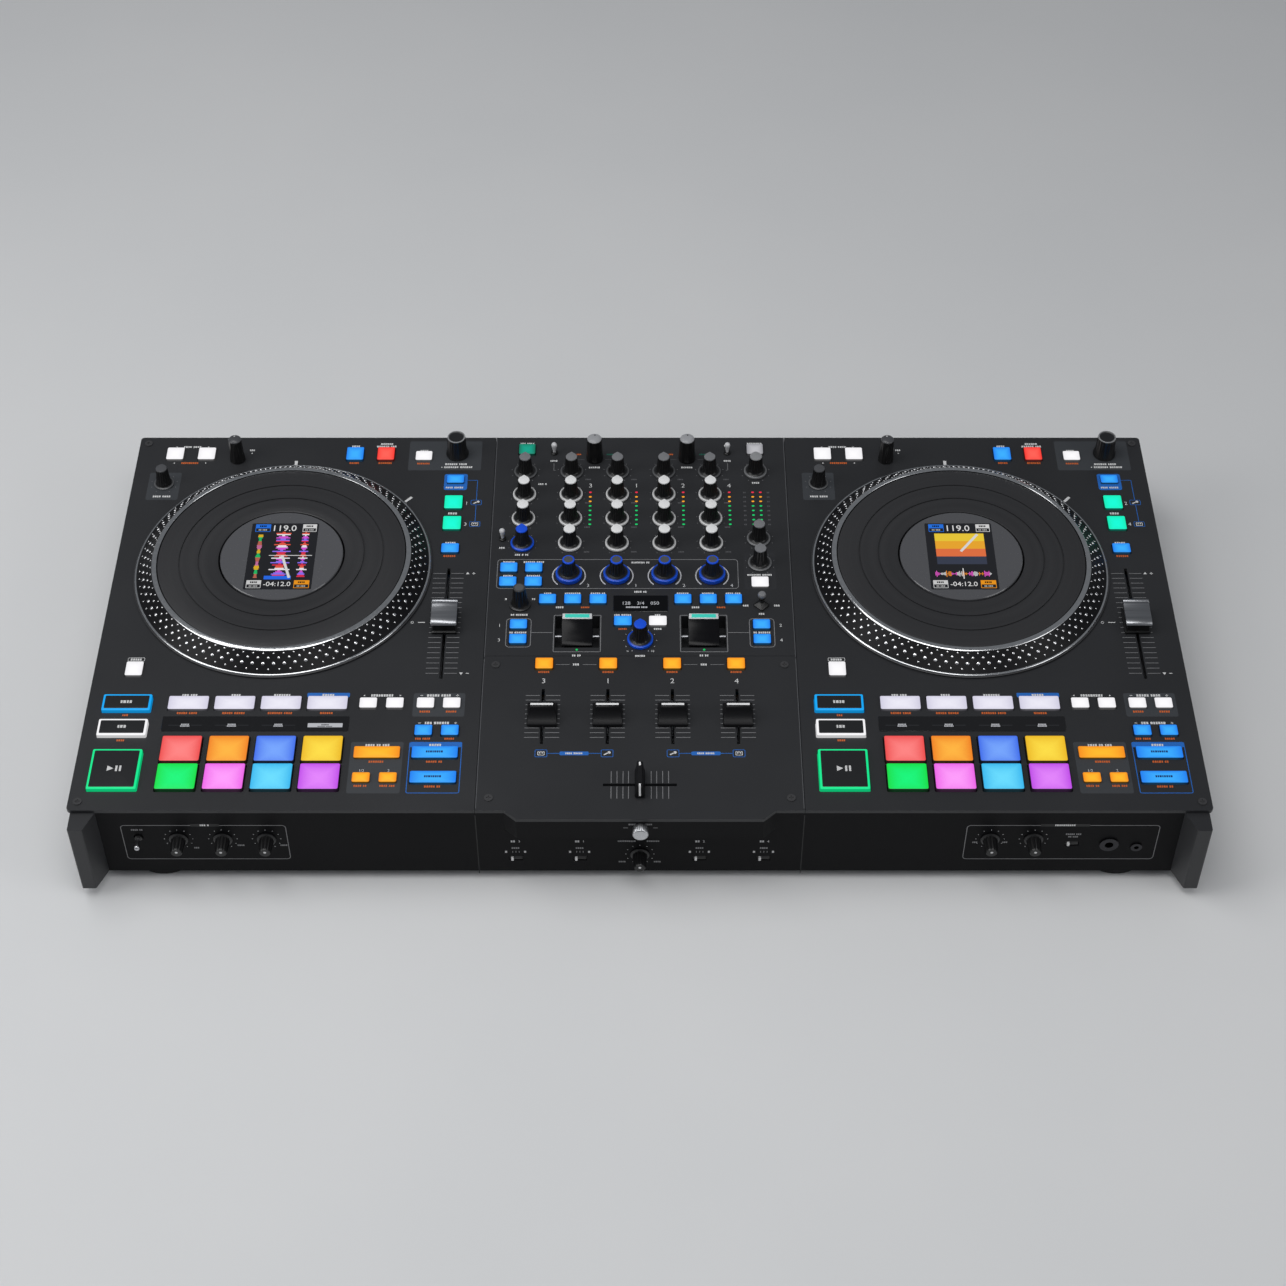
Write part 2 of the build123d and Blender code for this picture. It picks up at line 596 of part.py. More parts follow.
for deck in DECKS:
    x, y = place(deck, PLATTER_SPOT)
    with BuildPart() as platter:
        with BuildSketch(Plane.XZ):
            with BuildLine():
                Polyline(
                    (COLLAR_BORE, SHAFT_LOW),
                    (COLLAR_OUT, SHAFT_LOW),
                    (COLLAR_OUT, 82.5),
                    (54.0, 82.5),
                    (54.0, 87.0),
                    (98.0, 87.0),
                    (111.0, 81.6),
                    (PLATTER_RADIUS, 81.6),
                    (PLATTER_RADIUS, 82.6),
                    (115.2, 83.6),
                    (101.5, 94.6),
                    (98.8, 95.4),
                    (97.6, 94.4),
                    (97.6, RECORD_LOW),
                    (51.0, RECORD_LOW),
                    (51.0, 86.5),
                    (COLLAR_BORE, 86.5),
                    close=True,
                )
            make_face()
        revolve(axis=Axis.Z)
    platter.part = platter.part.moved(Location((x, y, 0)))
    finish(platter, f"{deck}_platter")

    with BuildPart() as record:
        with Locations((x, y, RECORD_LOW)):
            Cylinder(RECORD_RADIUS, RECORD_HIGH - RECORD_LOW, align=BASE)
            Cylinder(RECORD_HOLE, RECORD_HIGH - RECORD_LOW, align=BASE, mode=Mode.SUBTRACT)
        chamfer(record.faces().filter_by(Axis.Z).group_by(Axis.Z)[-1].edges(), 0.6)
    finish(record, f"{deck}_record")

    with BuildPart() as pitch_cap:
        x = DECKS[deck] + PITCH_ACROSS
        y = FRONT + sum(PITCH_SLOT) / 2
        with BuildSketch(Plane.XY.offset(PLATE_TOP + 1.5)):
            with Locations((x, y)):
                RectangleRounded(PITCH_CAP[0], PITCH_CAP[1], CAP_CORNER)
        extrude(amount=PITCH_CAP[2], taper=5)
        with Locations((x, y, STEM_LOW)):
            Box(STEM_THIN, STEM_LONG, PLATE_TOP + 1.5 - STEM_LOW, align=BASE)
    finish(pitch_cap, f"{deck}_pitch_cap")

    for spot, name in ((PLAY_BUTTON, "play"), (CUE_BUTTON, "cue"), (SYNC_BUTTON, "sync")):
        with BuildPart() as button:
            buttons([place(deck, spot)], rise=3.0)
            chamfer(button.faces().filter_by(Axis.Z).group_by(Axis.Z)[-1].edges(), 0.8)
        finish(button, f"{deck}_{name}_button")

    with BuildPart() as pad_mat:
        keys = [place(deck, (u, v) + PAD_SIZE) for u in PAD_COLUMNS for v in PAD_ROWS]
        left = DECKS[deck]
        block((left + 57.5, left + 199), (FRONT + 14.5, FRONT + 72.5), (72.6, 73.8))
        extrude(outlines(keys, 73.8, corner=PAD_CORNER), amount=PLATE_TOP + PAD_RISE - 73.8)
        chamfer(pad_mat.faces().filter_by(Axis.Z).group_by(Axis.Z)[-1].edges(), 0.7)
    finish(pad_mat, f"{deck}_pads")

    with BuildPart() as deck_buttons:
        buttons([place(deck, spot) for spot in DECK_BUTTONS])
    finish(deck_buttons, f"{deck}_deck_buttons")

    for spot, name in ((SCROLL_KNOB, "scroll"), (STOP_KNOB, "stop_time")):
        with BuildPart() as knob:
            knobs([place(deck, spot)])
        finish(knob, f"{deck}_{name}_knob")

# Mixer controls that move

for number, across in enumerate(CHANNEL_FADERS, start=1):
    with BuildPart() as channel_cap:
        y = FRONT + sum(CHANNEL_SLOT) / 2
        with BuildSketch(Plane.XY.offset(PLATE_TOP + 1.5)):
            with Locations((across, y)):
                RectangleRounded(CHANNEL_CAP[0], CHANNEL_CAP[1], CAP_CORNER)
        extrude(amount=CHANNEL_CAP[2], taper=7)
        with Locations((across, y, STEM_LOW)):
            Box(STEM_THIN, STEM_LONG, PLATE_TOP + 1.5 - STEM_LOW, align=BASE)
    finish(channel_cap, f"channel_fader_cap_{number}")

with BuildPart() as crossfader_cap:
    with BuildSketch(Plane.XY.offset(PLATE_TOP + 1.5)):
        with Locations((0, FRONT + CROSS_BACK)):
            RectangleRounded(CROSS_CAP[0], CROSS_CAP[1], CAP_CORNER)
    extrude(amount=CROSS_CAP[2], taper=4)
    with Locations((0, FRONT + CROSS_BACK, STEM_LOW)):
        Box(STEM_LONG, STEM_THIN, PLATE_TOP + 1.5 - STEM_LOW, align=BASE)
finish(crossfader_cap, "crossfader_cap")

for centre, name in zip(PADDLE_CENTRES, ("left_fx_paddle", "right_fx_paddle")):
    with BuildPart() as paddle:
        pivot_y = FRONT + PADDLE_PIVOT[0]
        with BuildSketch(Plane.YZ.offset(centre - PADDLE_WIDTH / 2)):
            with BuildLine():
                Polyline(
                    (pivot_y - 13.0, 78.5),
                    (pivot_y - 13.0, 80.5),
                    (pivot_y + 11.5, 88.0),
                    (pivot_y + 14.5, 86.5),
                    (pivot_y + 13.5, 79.5),
                    (pivot_y + 3.5, 72.5),
                    (pivot_y - 3.5, 72.5),
                    close=True,
                )
            make_face()
        extrude(amount=PADDLE_WIDTH)
        with Locations(Location((centre, pivot_y, PADDLE_PIVOT[1]), (0, 90, 0))):
            Cylinder(PADDLE_PIN, PADDLE_WELL[0] + 2 * WELL_WALL - 0.4)
    finish(paddle, name)

for number, spot in enumerate(FX_KNOBS, start=1):
    with BuildPart() as fx_knob:
        knobs([mid(spot)])
    finish(fx_knob, f"channel_fx_knob_{number}")

for spot, name in ((MAIN_KNOB, "main_volume"), (DEPTH_KNOB, "fx_depth"), (SELECT_KNOB, "fx_select")):
    with BuildPart() as single_knob:
        knobs([mid(spot)])
    finish(single_knob, f"{name}_knob")

with BuildPart() as mixer_buttons:
    buttons([mid(spot) for spot in MIXER_BUTTONS])
finish(mixer_buttons, "mixer_buttons")

with BuildPart() as channel_cue_buttons:
    buttons([mid(spot) for spot in CHANNEL_CUES])
finish(channel_cue_buttons, "channel_cue_buttons")

with BuildPart() as tension_knob:
    hood = Plane((TENSION_KNOB[0], FRONT - NOSE_DEPTH - KNOB_LIFT, TENSION_KNOB[1]), z_dir=(0, -1, 0))
    with Locations(hood):
        Cylinder(6.0, 7.0, align=BASE)
    with Locations(hood.offset(-10)):
        Cylinder(SHAFT_RADIUS, 10, align=BASE)
    chamfer(tension_knob.faces().filter_by(Axis.Y).group_by(Axis.Y)[0].edges(), 0.8)
finish(tension_knob, "fader_tension_knob")
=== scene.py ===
# %% [markdown]
# # A four-channel DJ controller with motor-driven platters
# Two decks stand left and right of a mixer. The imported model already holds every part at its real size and
# on its own axis. This lesson gives those parts their looks: some keep their shape and get a finish, and
# the ones the eye rests on, such as caps, knobs, platters and screens, are made again as finer surfaces.
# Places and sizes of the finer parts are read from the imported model, so nothing has to be fitted afterwards.

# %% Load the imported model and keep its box
import json
import math

import bpy
import numpy as np
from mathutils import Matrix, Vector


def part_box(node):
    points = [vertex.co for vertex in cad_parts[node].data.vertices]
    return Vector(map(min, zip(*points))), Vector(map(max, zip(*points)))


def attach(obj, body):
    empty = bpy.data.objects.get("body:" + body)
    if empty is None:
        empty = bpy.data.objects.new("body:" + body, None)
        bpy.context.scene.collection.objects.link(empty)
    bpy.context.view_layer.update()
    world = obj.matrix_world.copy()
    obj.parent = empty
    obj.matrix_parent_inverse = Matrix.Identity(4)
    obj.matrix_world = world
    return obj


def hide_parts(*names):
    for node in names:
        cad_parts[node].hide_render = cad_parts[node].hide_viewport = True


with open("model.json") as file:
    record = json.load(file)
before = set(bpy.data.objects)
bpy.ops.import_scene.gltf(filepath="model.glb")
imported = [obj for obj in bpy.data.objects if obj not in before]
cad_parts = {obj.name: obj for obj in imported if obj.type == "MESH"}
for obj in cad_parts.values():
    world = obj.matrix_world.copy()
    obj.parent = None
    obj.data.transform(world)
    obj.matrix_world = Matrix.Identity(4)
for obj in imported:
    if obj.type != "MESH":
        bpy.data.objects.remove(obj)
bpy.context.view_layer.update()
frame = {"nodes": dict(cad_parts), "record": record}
MM = 0.001
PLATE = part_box("mixer_plate")[1].z
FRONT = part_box("left_deck_plate")[0].y

# %% [markdown]
# ## The camera
# A product shot of a low wide object is taken from the front with a long lens, looking down at a bit over
# half a right angle, so that both the top plates and the front panel show. The camera has no roll and no
# shift, which keeps the object level in the frame.

# %% Camera in front, looking down
CAMERA_PLACE = (0.0023, -1.3076, 1.4697)
CAMERA_TILT = 42.711
CAMERA_LENS = 68.85
eye = bpy.data.cameras.new("studio_camera")
eye.lens = CAMERA_LENS
eye.sensor_width = 36
camera = bpy.data.objects.new("studio_camera", eye)
camera.location = CAMERA_PLACE
camera.rotation_euler = (math.radians(CAMERA_TILT), 0, 0)
bpy.context.scene.collection.objects.link(camera)
bpy.context.scene.camera = camera
print("camera tilt", CAMERA_TILT, "degrees from straight down")

# %% [markdown]
# ## Soft light and a pale floor
# Black satin metal takes its grey from wide soft lights. A very large one hangs high over the object and
# sets how grey the plates look. Two weaker ones fill the left and right sides. A dim, slightly blue world is
# what the plates mirror, and it keeps the blacks from closing up. The standard view transform keeps the
# colours of the lit caps as they are set.

# %% Lights, world and floor


def soft_light(name, place, size, power):
    """A rectangular lamp at a place, turned so that its face looks at the middle of the object."""
    lamp = bpy.data.lights.new(name, "AREA")
    lamp.shape = "RECTANGLE"
    lamp.size, lamp.size_y = size
    lamp.energy = power
    holder = bpy.data.objects.new(name, lamp)
    holder.location = place
    aim = -holder.location
    holder.rotation_euler = aim.to_track_quat("-Z", "Y").to_euler()
    bpy.context.scene.collection.objects.link(holder)


soft_light("top_softbox", (-0.3, -0.30, 1.9), (2.4, 0.8), 20)
soft_light("right_fill", (2.0, -0.9, 1.3), (1.2, 1.2), 8)
soft_light("side_fill", (-1.7, -0.5, 1.2), (1.0, 1.4), 11)
world = bpy.data.worlds.new("studio")
world.use_nodes = True
world.node_tree.nodes["Background"].inputs["Color"].default_value = (0.80, 0.84, 0.90, 1)
world.node_tree.nodes["Background"].inputs["Strength"].default_value = 0.20
bpy.context.scene.world = world
bpy.context.scene.view_settings.view_transform = "Standard"
print("lights:", len(bpy.data.lights))

# %% [markdown]
# ## Shader sums as plain Python
# A finish is a small sum: a base colour plus a little noise, a mask times a roughness. Wrapping a socket in a
# class with its own plus, minus and times lets the sum be written as one line, and each operator adds the
# Math node it stands for. Every other node comes from one method that takes a type, settings and values.

# %% A socket that can be added and multiplied, and a paint that holds the nodes


class Signal:
    """One output of a shader node. Arithmetic on it adds Math nodes to the same paint."""

    def __init__(self, paint, socket):
        self.paint = paint
        self.socket = socket

    def sum(self, operation, first, second=0.0):
        return self.paint.node("Math", {"operation": operation}, {0: first, 1: second})

    def __add__(self, other):
        return self.sum("ADD", self, other)

    def __mul__(self, other):
        return self.sum("MULTIPLY", self, other)

    def __sub__(self, other):
        return self.sum("SUBTRACT", self, other)

    def __rsub__(self, other):
        return self.sum("SUBTRACT", other, self)

    def __pow__(self, other):
        return self.sum("POWER", self, other)

    def __gt__(self, other):
        return self.sum("GREATER_THAN", self, other)

    def most(self, other):
        return self.sum("MAXIMUM", self, other)

    def size(self):
        return self.sum("ABSOLUTE", self)

    __radd__ = __add__
    __rmul__ = __mul__


class Paint:
    """A material. Constants go straight onto its Principled shader, and what varies is linked by feed()."""

    def __init__(self, name, **constants):
        self.material = bpy.data.materials.new(name)
        self.material.use_nodes = True
        self.tree = self.material.node_tree
        self.shader = self.tree.nodes["Principled BSDF"]
        for key, value in constants.items():
            self.shader.inputs[key.replace("_", " ").title().replace("Ior", "IOR")].default_value = value

    def node(self, kind, settings=None, values=None, output=0):
        made = self.tree.nodes.new("ShaderNode" + kind)
        for key, value in (settings or {}).items():
            setattr(made, key, value)
        for key, value in (values or {}).items():
            if isinstance(value, Signal):
                self.tree.links.new(value.socket, made.inputs[key])
            else:
                made.inputs[key].default_value = value
        return Signal(self, made.outputs[output])

    def feed(self, **signals):
        for key, signal in signals.items():
            self.tree.links.new(signal.socket, self.shader.inputs[key.replace("_", " ").title()])
        return self

    def noise(self, scale, detail=2.0, place=None):
        """Cloudy noise on the object's own coordinates, about 0.5, with a grain of 1/scale metres."""
        place = place or self.node("TexCoord", output="Object")
        return self.node("TexNoise", values={"Vector": place, "Scale": scale, "Detail": detail})

    def blend(self, share, first, second):
        """A colour between two colours by a share from 0 to 1."""
        values = {"Factor": share, "A": first, "B": second}
        return self.node("Mix", {"data_type": "RGBA"}, values, output="Result")

    def bump(self, height, strength, distance):
        """A normal bent by a height signal; distance is the height in metres that a step of 1 stands for."""
        values = {"Height": height, "Strength": strength, "Distance": distance}
        self.feed(normal=self.node("Bump", values=values))
        return self


def tone(*channels):
    """A screen colour of 0 to 255 a channel as linear light, by the 2.4 power curve."""
    parts = [((part / 255 + 0.055) / 1.055) ** 2.4 if part > 10 else part / 3295 for part in channels]
    return (*parts, 1.0)


def grey(level, blue=0.0):
    """A nearly neutral linear colour, with a little more blue when asked."""
    return (level, level, level + blue, 1)


print("tone(118, 118, 118) =", round(tone(118, 118, 118)[0], 3))

# %% [markdown]
# ## The floor
# The floor is a large disc with a faint mottle, only there to catch the light and the shadow.

# %% Floor disc
floor_paint = Paint("pale_floor", roughness=0.75)
mottle = floor_paint.noise(3.0, 4.0)
floor_paint.feed(base_color=floor_paint.blend(mottle, (0.70, 0.71, 0.72, 1), (0.78, 0.78, 0.78, 1)))
FLOOR_RADIUS = 9.0
angles = np.linspace(0, 2 * np.pi, 96, endpoint=False)
rim = np.stack([FLOOR_RADIUS * np.cos(angles), FLOOR_RADIUS * np.sin(angles), np.zeros(96)], 1)
floor_mesh = bpy.data.meshes.new("floor")
floor_mesh.from_pydata(rim.tolist(), [], [list(range(96))])
floor_mesh.materials.append(floor_paint.material)
floor = bpy.data.objects.new("floor", floor_mesh)
bpy.context.scene.collection.objects.link(floor)
print("floor radius", FLOOR_RADIUS, "m")

# %% [markdown]
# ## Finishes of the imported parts
# The covers are steel sheet with a fine satin powder coat: a dark grey base, a grain of half a millimetre in
# the bump, and slow patches in the roughness where hands have polished it. The tray, boards, supply and
# motors inside get the finish their metal has, because they show when a cover is taken off. Bump distances
# are real heights, from a few hundredths of a millimetre for paint to two tenths for cast rubber.

# %% Coated sheet, rubber and screws


def coated(name, dark, light, rough, grain=2200.0, depth=0.00006, shine=0.45):
    """Powder-coated metal: grain in the bump, cloudy base colour and roughness."""
    paint = Paint(name, roughness=rough, specular_ior_level=shine)
    speck = paint.noise(grain, 3.0)
    cloud = paint.noise(9.0, 4.0)
    paint.feed(base_color=paint.blend(cloud * 0.6 + speck * 0.4, dark, light))
    paint.feed(roughness=cloud * 0.14 + speck * 0.08 + (rough - 0.11))
    return paint.bump(speck, 0.45, depth)


paints = {
    "plate_satin": coated("plate_satin", (0.014, 0.0145, 0.016, 1), (0.030, 0.031, 0.034, 1), 0.40),
    "case_black": coated("case_black", grey(0.003, 0.0005), grey(0.006, 0.001), 0.52, 1500.0, 0.00008, 0.10),
    "tray_steel": coated("tray_steel", grey(0.010, 0.001), grey(0.022, 0.002), 0.55, 900.0, 0.0001),
    "foot_rubber": coated("foot_rubber", grey(0.008), grey(0.020), 0.85, 600.0, 0.0002),
    "screw_black": coated("screw_black", grey(0.020, 0.001), grey(0.070, 0.003), 0.34, 3000.0, 0.00003),
}
print("coated finishes:", sorted(paints))

# %% Bare metals: each has its own streaks


def bare_metal(name, colour, rough, stretch, scale=260.0):
    """Metal with streaks: noise on coordinates stretched along one axis, in roughness and bump."""
    paint = Paint(name, metallic=1.0, roughness=rough)
    own = paint.node("TexCoord", output="Object")
    place = paint.node("Mapping", values={"Vector": own, "Scale": stretch})
    streak = paint.noise(scale, 5.0, place)
    darker = tuple(part * 0.72 for part in colour[:3]) + (1,)
    paint.feed(base_color=paint.blend(streak, darker, colour), roughness=streak * 0.22 + (rough - 0.11))
    return paint.bump(streak, 0.25, 0.00004)


metals = {
    "supply_metal": ((0.52, 0.54, 0.56, 1), 0.42, (0.1, 1, 1)),
    "hub_metal": ((0.60, 0.60, 0.62, 1), 0.30, (1, 1, 8)),
    "motor_core": ((0.32, 0.31, 0.30, 1), 0.45, (0.2, 0.2, 14)),
    "track_steel": ((0.46, 0.47, 0.49, 1), 0.38, (1, 0.1, 1)),
    "socket_metal": ((0.62, 0.62, 0.64, 1), 0.28, (1, 0.2, 1)),
    "switch_metal": ((0.90, 0.91, 0.92, 1), 0.26, (1, 1, 3)),
    "knob_silver": ((0.66, 0.67, 0.69, 1), 0.30, (6, 0.3, 6)),
    "cap_metal": ((0.44, 0.45, 0.47, 1), 0.32, (0.06, 2, 2)),
    "jack_metal": ((0.055, 0.055, 0.06, 1), 0.30, (1, 0.2, 1)),
}
paints.update({name: bare_metal(name, *numbers) for name, numbers in metals.items()})
print("bare metals:", sorted(metals))

# %% Circuit board: green lacquer over copper tracks and round pads
board = Paint("board_green", roughness=0.35, coat_weight=0.4)
board_place = board.node("TexCoord", output="Object")
brick = {"Vector": board_place, "Scale": 90.0, "Mortar Size": 0.03}
tracks = board.node("TexBrick", {"offset": 0.5}, brick, 1)
pads_seen = board.node("TexVoronoi", {"feature": "F1"}, {"Vector": board_place, "Scale": 240.0}) > 0.55
board_mask = (tracks * 0.5).most(pads_seen * 0.25)
board.feed(base_color=board.blend(board_mask, (0.008, 0.075, 0.030, 1), (0.060, 0.190, 0.075, 1)))
board.bump(board_mask, 0.5, 0.00006)
paints["board_green"] = board

# %% Gloss black windows, smoked glass and black plastic


def gloss(name, colour, rough, coat, grain=500.0, shine=0.5):
    """Polished plastic or glass: nearly even, with faint waves and dust in the roughness."""
    values = {"roughness": rough, "coat_weight": coat, "coat_roughness": 0.05, "specular_ior_level": shine}
    paint = Paint(name, base_color=colour, **values)
    dust = paint.noise(grain, 6.0)
    wave = paint.noise(30.0, 2.0)
    paint.feed(roughness=(dust ** 4) * 0.5 + wave * 0.04 + rough)
    return paint.bump(wave, 0.15, 0.00012)


paints["display_glass"] = gloss("display_glass", (0.088, 0.089, 0.096, 1), 0.16, 0.5)
paints["window_black"] = gloss("window_black", (0.004, 0.004, 0.005, 1), 0.10, 0.5)
plastic_tones = grey(0.008, 0.001), grey(0.017, 0.001)
paints["knob_black"] = coated("knob_black", *plastic_tones, 0.36, 3500.0, 0.00004)
plastic_tones = grey(0.005, 0.001), grey(0.011, 0.001)
paints["cap_black"] = coated("cap_black", *plastic_tones, 0.42, 3000.0, 0.00003, 0.2)

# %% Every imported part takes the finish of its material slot


def wear(item, paint):
    """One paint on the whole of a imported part."""
    item.data.materials.clear()
    item.data.materials.append(paint.material)


slot_of = {row["node"]: row["material_slot"] for row in frame["record"]["subparts"]}
for node_name, part in frame["nodes"].items():
    wear(part, paints.get(slot_of[node_name], paints["cap_black"]))
wear(frame["nodes"]["front_jacks"], paints["jack_metal"])
for node_name in ("left_end_cheek", "right_end_cheek"):
    wear(frame["nodes"][node_name], paints["plate_satin"])
print("finished parts:", len(slot_of))

# %% [markdown]
# ## Surfaces as grids
# Nearly everything here is one of three surfaces: a turned profile (knob, platter), a stack of rounded
# rectangles (cap, button, slab) or a profile pushed along a line (fader cap). Each is a grid of points with
# rows and columns, computed as whole arrays. A `Shape` gathers grids, with a colour and a finish number for
# each, and turns them into one object. Rows run up or inwards and columns run anticlockwise, so that faces
# point outwards.

# %% Shape: grids in, one object out
SHARP = 38


class Shape:
    """Grids of points that become one mesh. Units in are millimetres, and the mesh is in metres."""

    def __init__(self):
        self.points = []
        self.faces = []
        self.tints = []
        self.places = []
        self.finishes = []
        self.count = 0

    def grid(self, points, tint=(0, 0, 0, 1), finish=0, caps=(True, True), loop=False, place=None):
        """Rows x columns x 3 points. Face (r, c) joins a point with its neighbours in the next column and the
        next row. The last column joins the first, and with loop the last row does too. A cap is one flat face
        over an end row. finish is one number, or one for each band between two rows."""
        rows, columns = points.shape[:2]
        index = self.count + np.arange(rows * columns).reshape(rows, columns)
        above = np.roll(index, -1, 0) if loop else index[1:]
        below = index if loop else index[:-1]
        right, far = np.roll(below, -1, 1), np.roll(above, -1, 1)
        quads = np.stack([below, right, far, above], -1).reshape(-1, 4).tolist()
        ends = [] if loop else [index[0][::-1].tolist()] * caps[0] + [index[-1].tolist()] * caps[1]
        bands = np.broadcast_to(finish, (len(below),))
        self.points.append(points.reshape(-1, 3))
        self.faces += quads + ends
        self.finishes += np.repeat(bands, columns).tolist() + [int(bands[-1])] * len(ends)
        tint = np.asarray(tint, float)
        tint = tint[:, None] if tint.ndim == 2 else tint
        self.tints.append(np.broadcast_to(tint, (rows, columns, 4)).reshape(-1, 4))
        blank = np.zeros((rows, columns, 2))
        self.places.append((blank if place is None else place).reshape(-1, 2))
        self.count += rows * columns
        return self

    def loose(self, points, faces, tint, finish=0):
        """Points and faces that are not a grid, such as extruded type."""
        self.points.append(points)
        self.faces += [[corner + self.count for corner in face] for face in faces]
        self.finishes += [finish] * len(faces)
        self.tints.append(np.broadcast_to(np.asarray(tint, float), (len(points), 4)))
        self.places.append(np.full((len(points), 2), 0.5))
        self.count += len(points)

    def piece(self, name, body, paint_list, slot, replaced=()):
        """Makes the object, smooth except at edges that turn by more than SHARP degrees, riding on a body."""
        mesh = bpy.data.meshes.new(name)
        points = np.concatenate(self.points) * MM
        mesh.from_pydata(points.tolist(), [], self.faces)
        mesh.polygons.foreach_set("material_index", self.finishes)
        tint = mesh.attributes.new("tint", "FLOAT_COLOR", "POINT")
        tint.data.foreach_set("color", np.concatenate(self.tints).astype(np.float32).ravel())
        corner = np.empty(len(mesh.loops), np.int32)
        mesh.loops.foreach_get("vertex_index", corner)
        place = mesh.uv_layers.new(name="place")
        place.data.foreach_set("uv", np.concatenate(self.places)[corner].astype(np.float32).ravel())
        mesh.shade_smooth()
        mesh.set_sharp_from_angle(angle=math.radians(SHARP))
        for paint in paint_list:
            mesh.materials.append(paint.material)
        item = bpy.data.objects.new(name, mesh)
        bpy.context.scene.collection.objects.link(item)
        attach(item, body)
        if replaced:
            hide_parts(*replaced)
        return item


# %% The three kinds of surface
QUARTER_TURN = np.array([[0, 1], [-1, 0]])


def circle(count, start=0.0):
    """count angles round a circle, as unit (x, y) pairs: cosine and sine."""
    turn = np.linspace(0, 2 * np.pi, count, endpoint=False) + start
    return np.stack([np.cos(turn), np.sin(turn)], 1)


def turned(centre, profile, count=48, flutes=0, depth=0.0, fluted=None, axis="z"):
    """A profile of (radius, height) turned about an upright axis. Where fluted is 1, the radius is cut by
    depth times a raised cosine that dips once per flute: r = radius - depth * ((1 - cos(flutes * a)) / 2)
    to the power 0.6. With axis "y" the height points to the front, along -Y."""
    profile = np.asarray(profile, float)
    around = circle(count)
    angle = np.arctan2(around[:, 1], around[:, 0])
    dip = ((1 - np.cos(flutes * angle)) / 2) ** 0.6 * depth
    share = np.zeros(len(profile)) if fluted is None else np.asarray(fluted, float)
    radius = profile[:, :1] - share[:, None] * dip[None, :]
    height = np.repeat(profile[:, 1:], count, 1)
    across, along = radius * around[:, 0], radius * around[:, 1]
    grid = {"z": (across, along, height), "y": (across, -height, along)}[axis]
    return np.stack(grid, -1) + np.asarray(centre, float)


def rounded(width, depth, corner, steps=5):
    """A rounded rectangle about the middle: in each corner an arc of steps points, centred corner inwards.
    The arc is turned by a right angle from one corner to the next."""
    corner = min(corner, width / 2 - 0.01, depth / 2 - 0.01)
    turn = np.linspace(0, np.pi / 2, steps)
    quarter = np.stack([np.cos(turn), np.sin(turn)], 1) * corner
    reach = np.array([width / 2 - corner, depth / 2 - corner])
    parts = []
    for sign in ((1, 1), (-1, 1), (-1, -1), (1, -1)):
        parts.append(quarter + reach * sign)
        quarter = quarter @ QUARTER_TURN
    return np.concatenate(parts)


def stack(centre, width, depth, corner, rings):
    """Rounded rectangles one above the other. A ring is (inset, height): the outline shrunk by inset on all
    sides, lifted to height. Returns the grid and each point's place in the outline from 0 to 1 both ways."""
    grid, place = [], []
    for inset, height in rings:
        ring = rounded(width - 2 * inset, depth - 2 * inset, max(corner - inset, 0.15))
        grid.append(np.column_stack([ring + np.asarray(centre, float), np.full(len(ring), height)]))
        place.append(ring / np.array([width, depth]) + 0.5)
    return np.array(grid), np.array(place)


def pushed(centre, outline, stations):
    """A closed outline of (y, z) pushed along X. A station is (x, shrink): the outline there is drawn towards
    its middle by that many millimetres times each point's unit distance, which rounds the ends."""
    outline = np.asarray(outline, float)
    middle = (outline.min(0) + outline.max(0)) / 2
    away = (outline - middle) / np.abs(outline - middle).max(0)
    rows = [np.column_stack([np.full(len(outline), x), outline - away * shrink]) for x, shrink in stations]
    return np.array(rows) + np.asarray(centre, float)


print("a profile of 2 points makes a grid of", turned((0, 0, 0), [(1, 0), (1, 1)]).shape)

# %% [markdown]
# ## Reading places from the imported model
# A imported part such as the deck's small buttons holds many separate solids. Corners at the same place are
# given one number, and each triangle hands its lowest number to its three corners until nothing changes.
# Each number left is one solid, and its box says where a cap stands and how large it is.

# %% Boxes of the solids in a part, in rows from back to front


def solids(node):
    """Lowest and highest corners in millimetres of every separate solid of a part, as an array n x 2 x 3."""
    mesh = frame["nodes"][node].data
    points = np.empty(len(mesh.vertices) * 3, np.float32)
    mesh.vertices.foreach_get("co", points)
    points = points.reshape(-1, 3).astype(float) / MM
    mesh.calc_loop_triangles()
    corners = np.empty(len(mesh.loop_triangles) * 3, np.int32)
    mesh.loop_triangles.foreach_get("vertices", corners)
    number = np.unique(np.round(points, 3), axis=0, return_inverse=True)[1].ravel()
    corners = number[corners].reshape(-1, 3)
    label = np.arange(number.max() + 1)
    while True:
        lower = label.copy()
        np.minimum.at(lower, corners.ravel(), np.repeat(label[corners].min(1), 3))
        lower = lower[lower]
        if (lower == label).all():
            break
        label = lower
    mine = label[number]
    return np.array([(points[mine == k].min(0), points[mine == k].max(0)) for k in np.unique(mine)])


def rows_of(node, gap=3.0):
    """The solids of a part sorted into rows from back to front, and from left to right in a row. A new row
    starts where the next solid stands more than gap millimetres further forward."""
    boxes = solids(node)
    middle = boxes.mean(1)
    order = np.argsort(-middle[:, 1])
    step = np.concatenate([[0], np.cumsum(np.diff(-middle[order, 1]) > gap)])
    ranked = order[np.lexsort((middle[order, 0], step))]
    return boxes[ranked]


print("small buttons on the left deck:", len(rows_of("left_deck_buttons")))

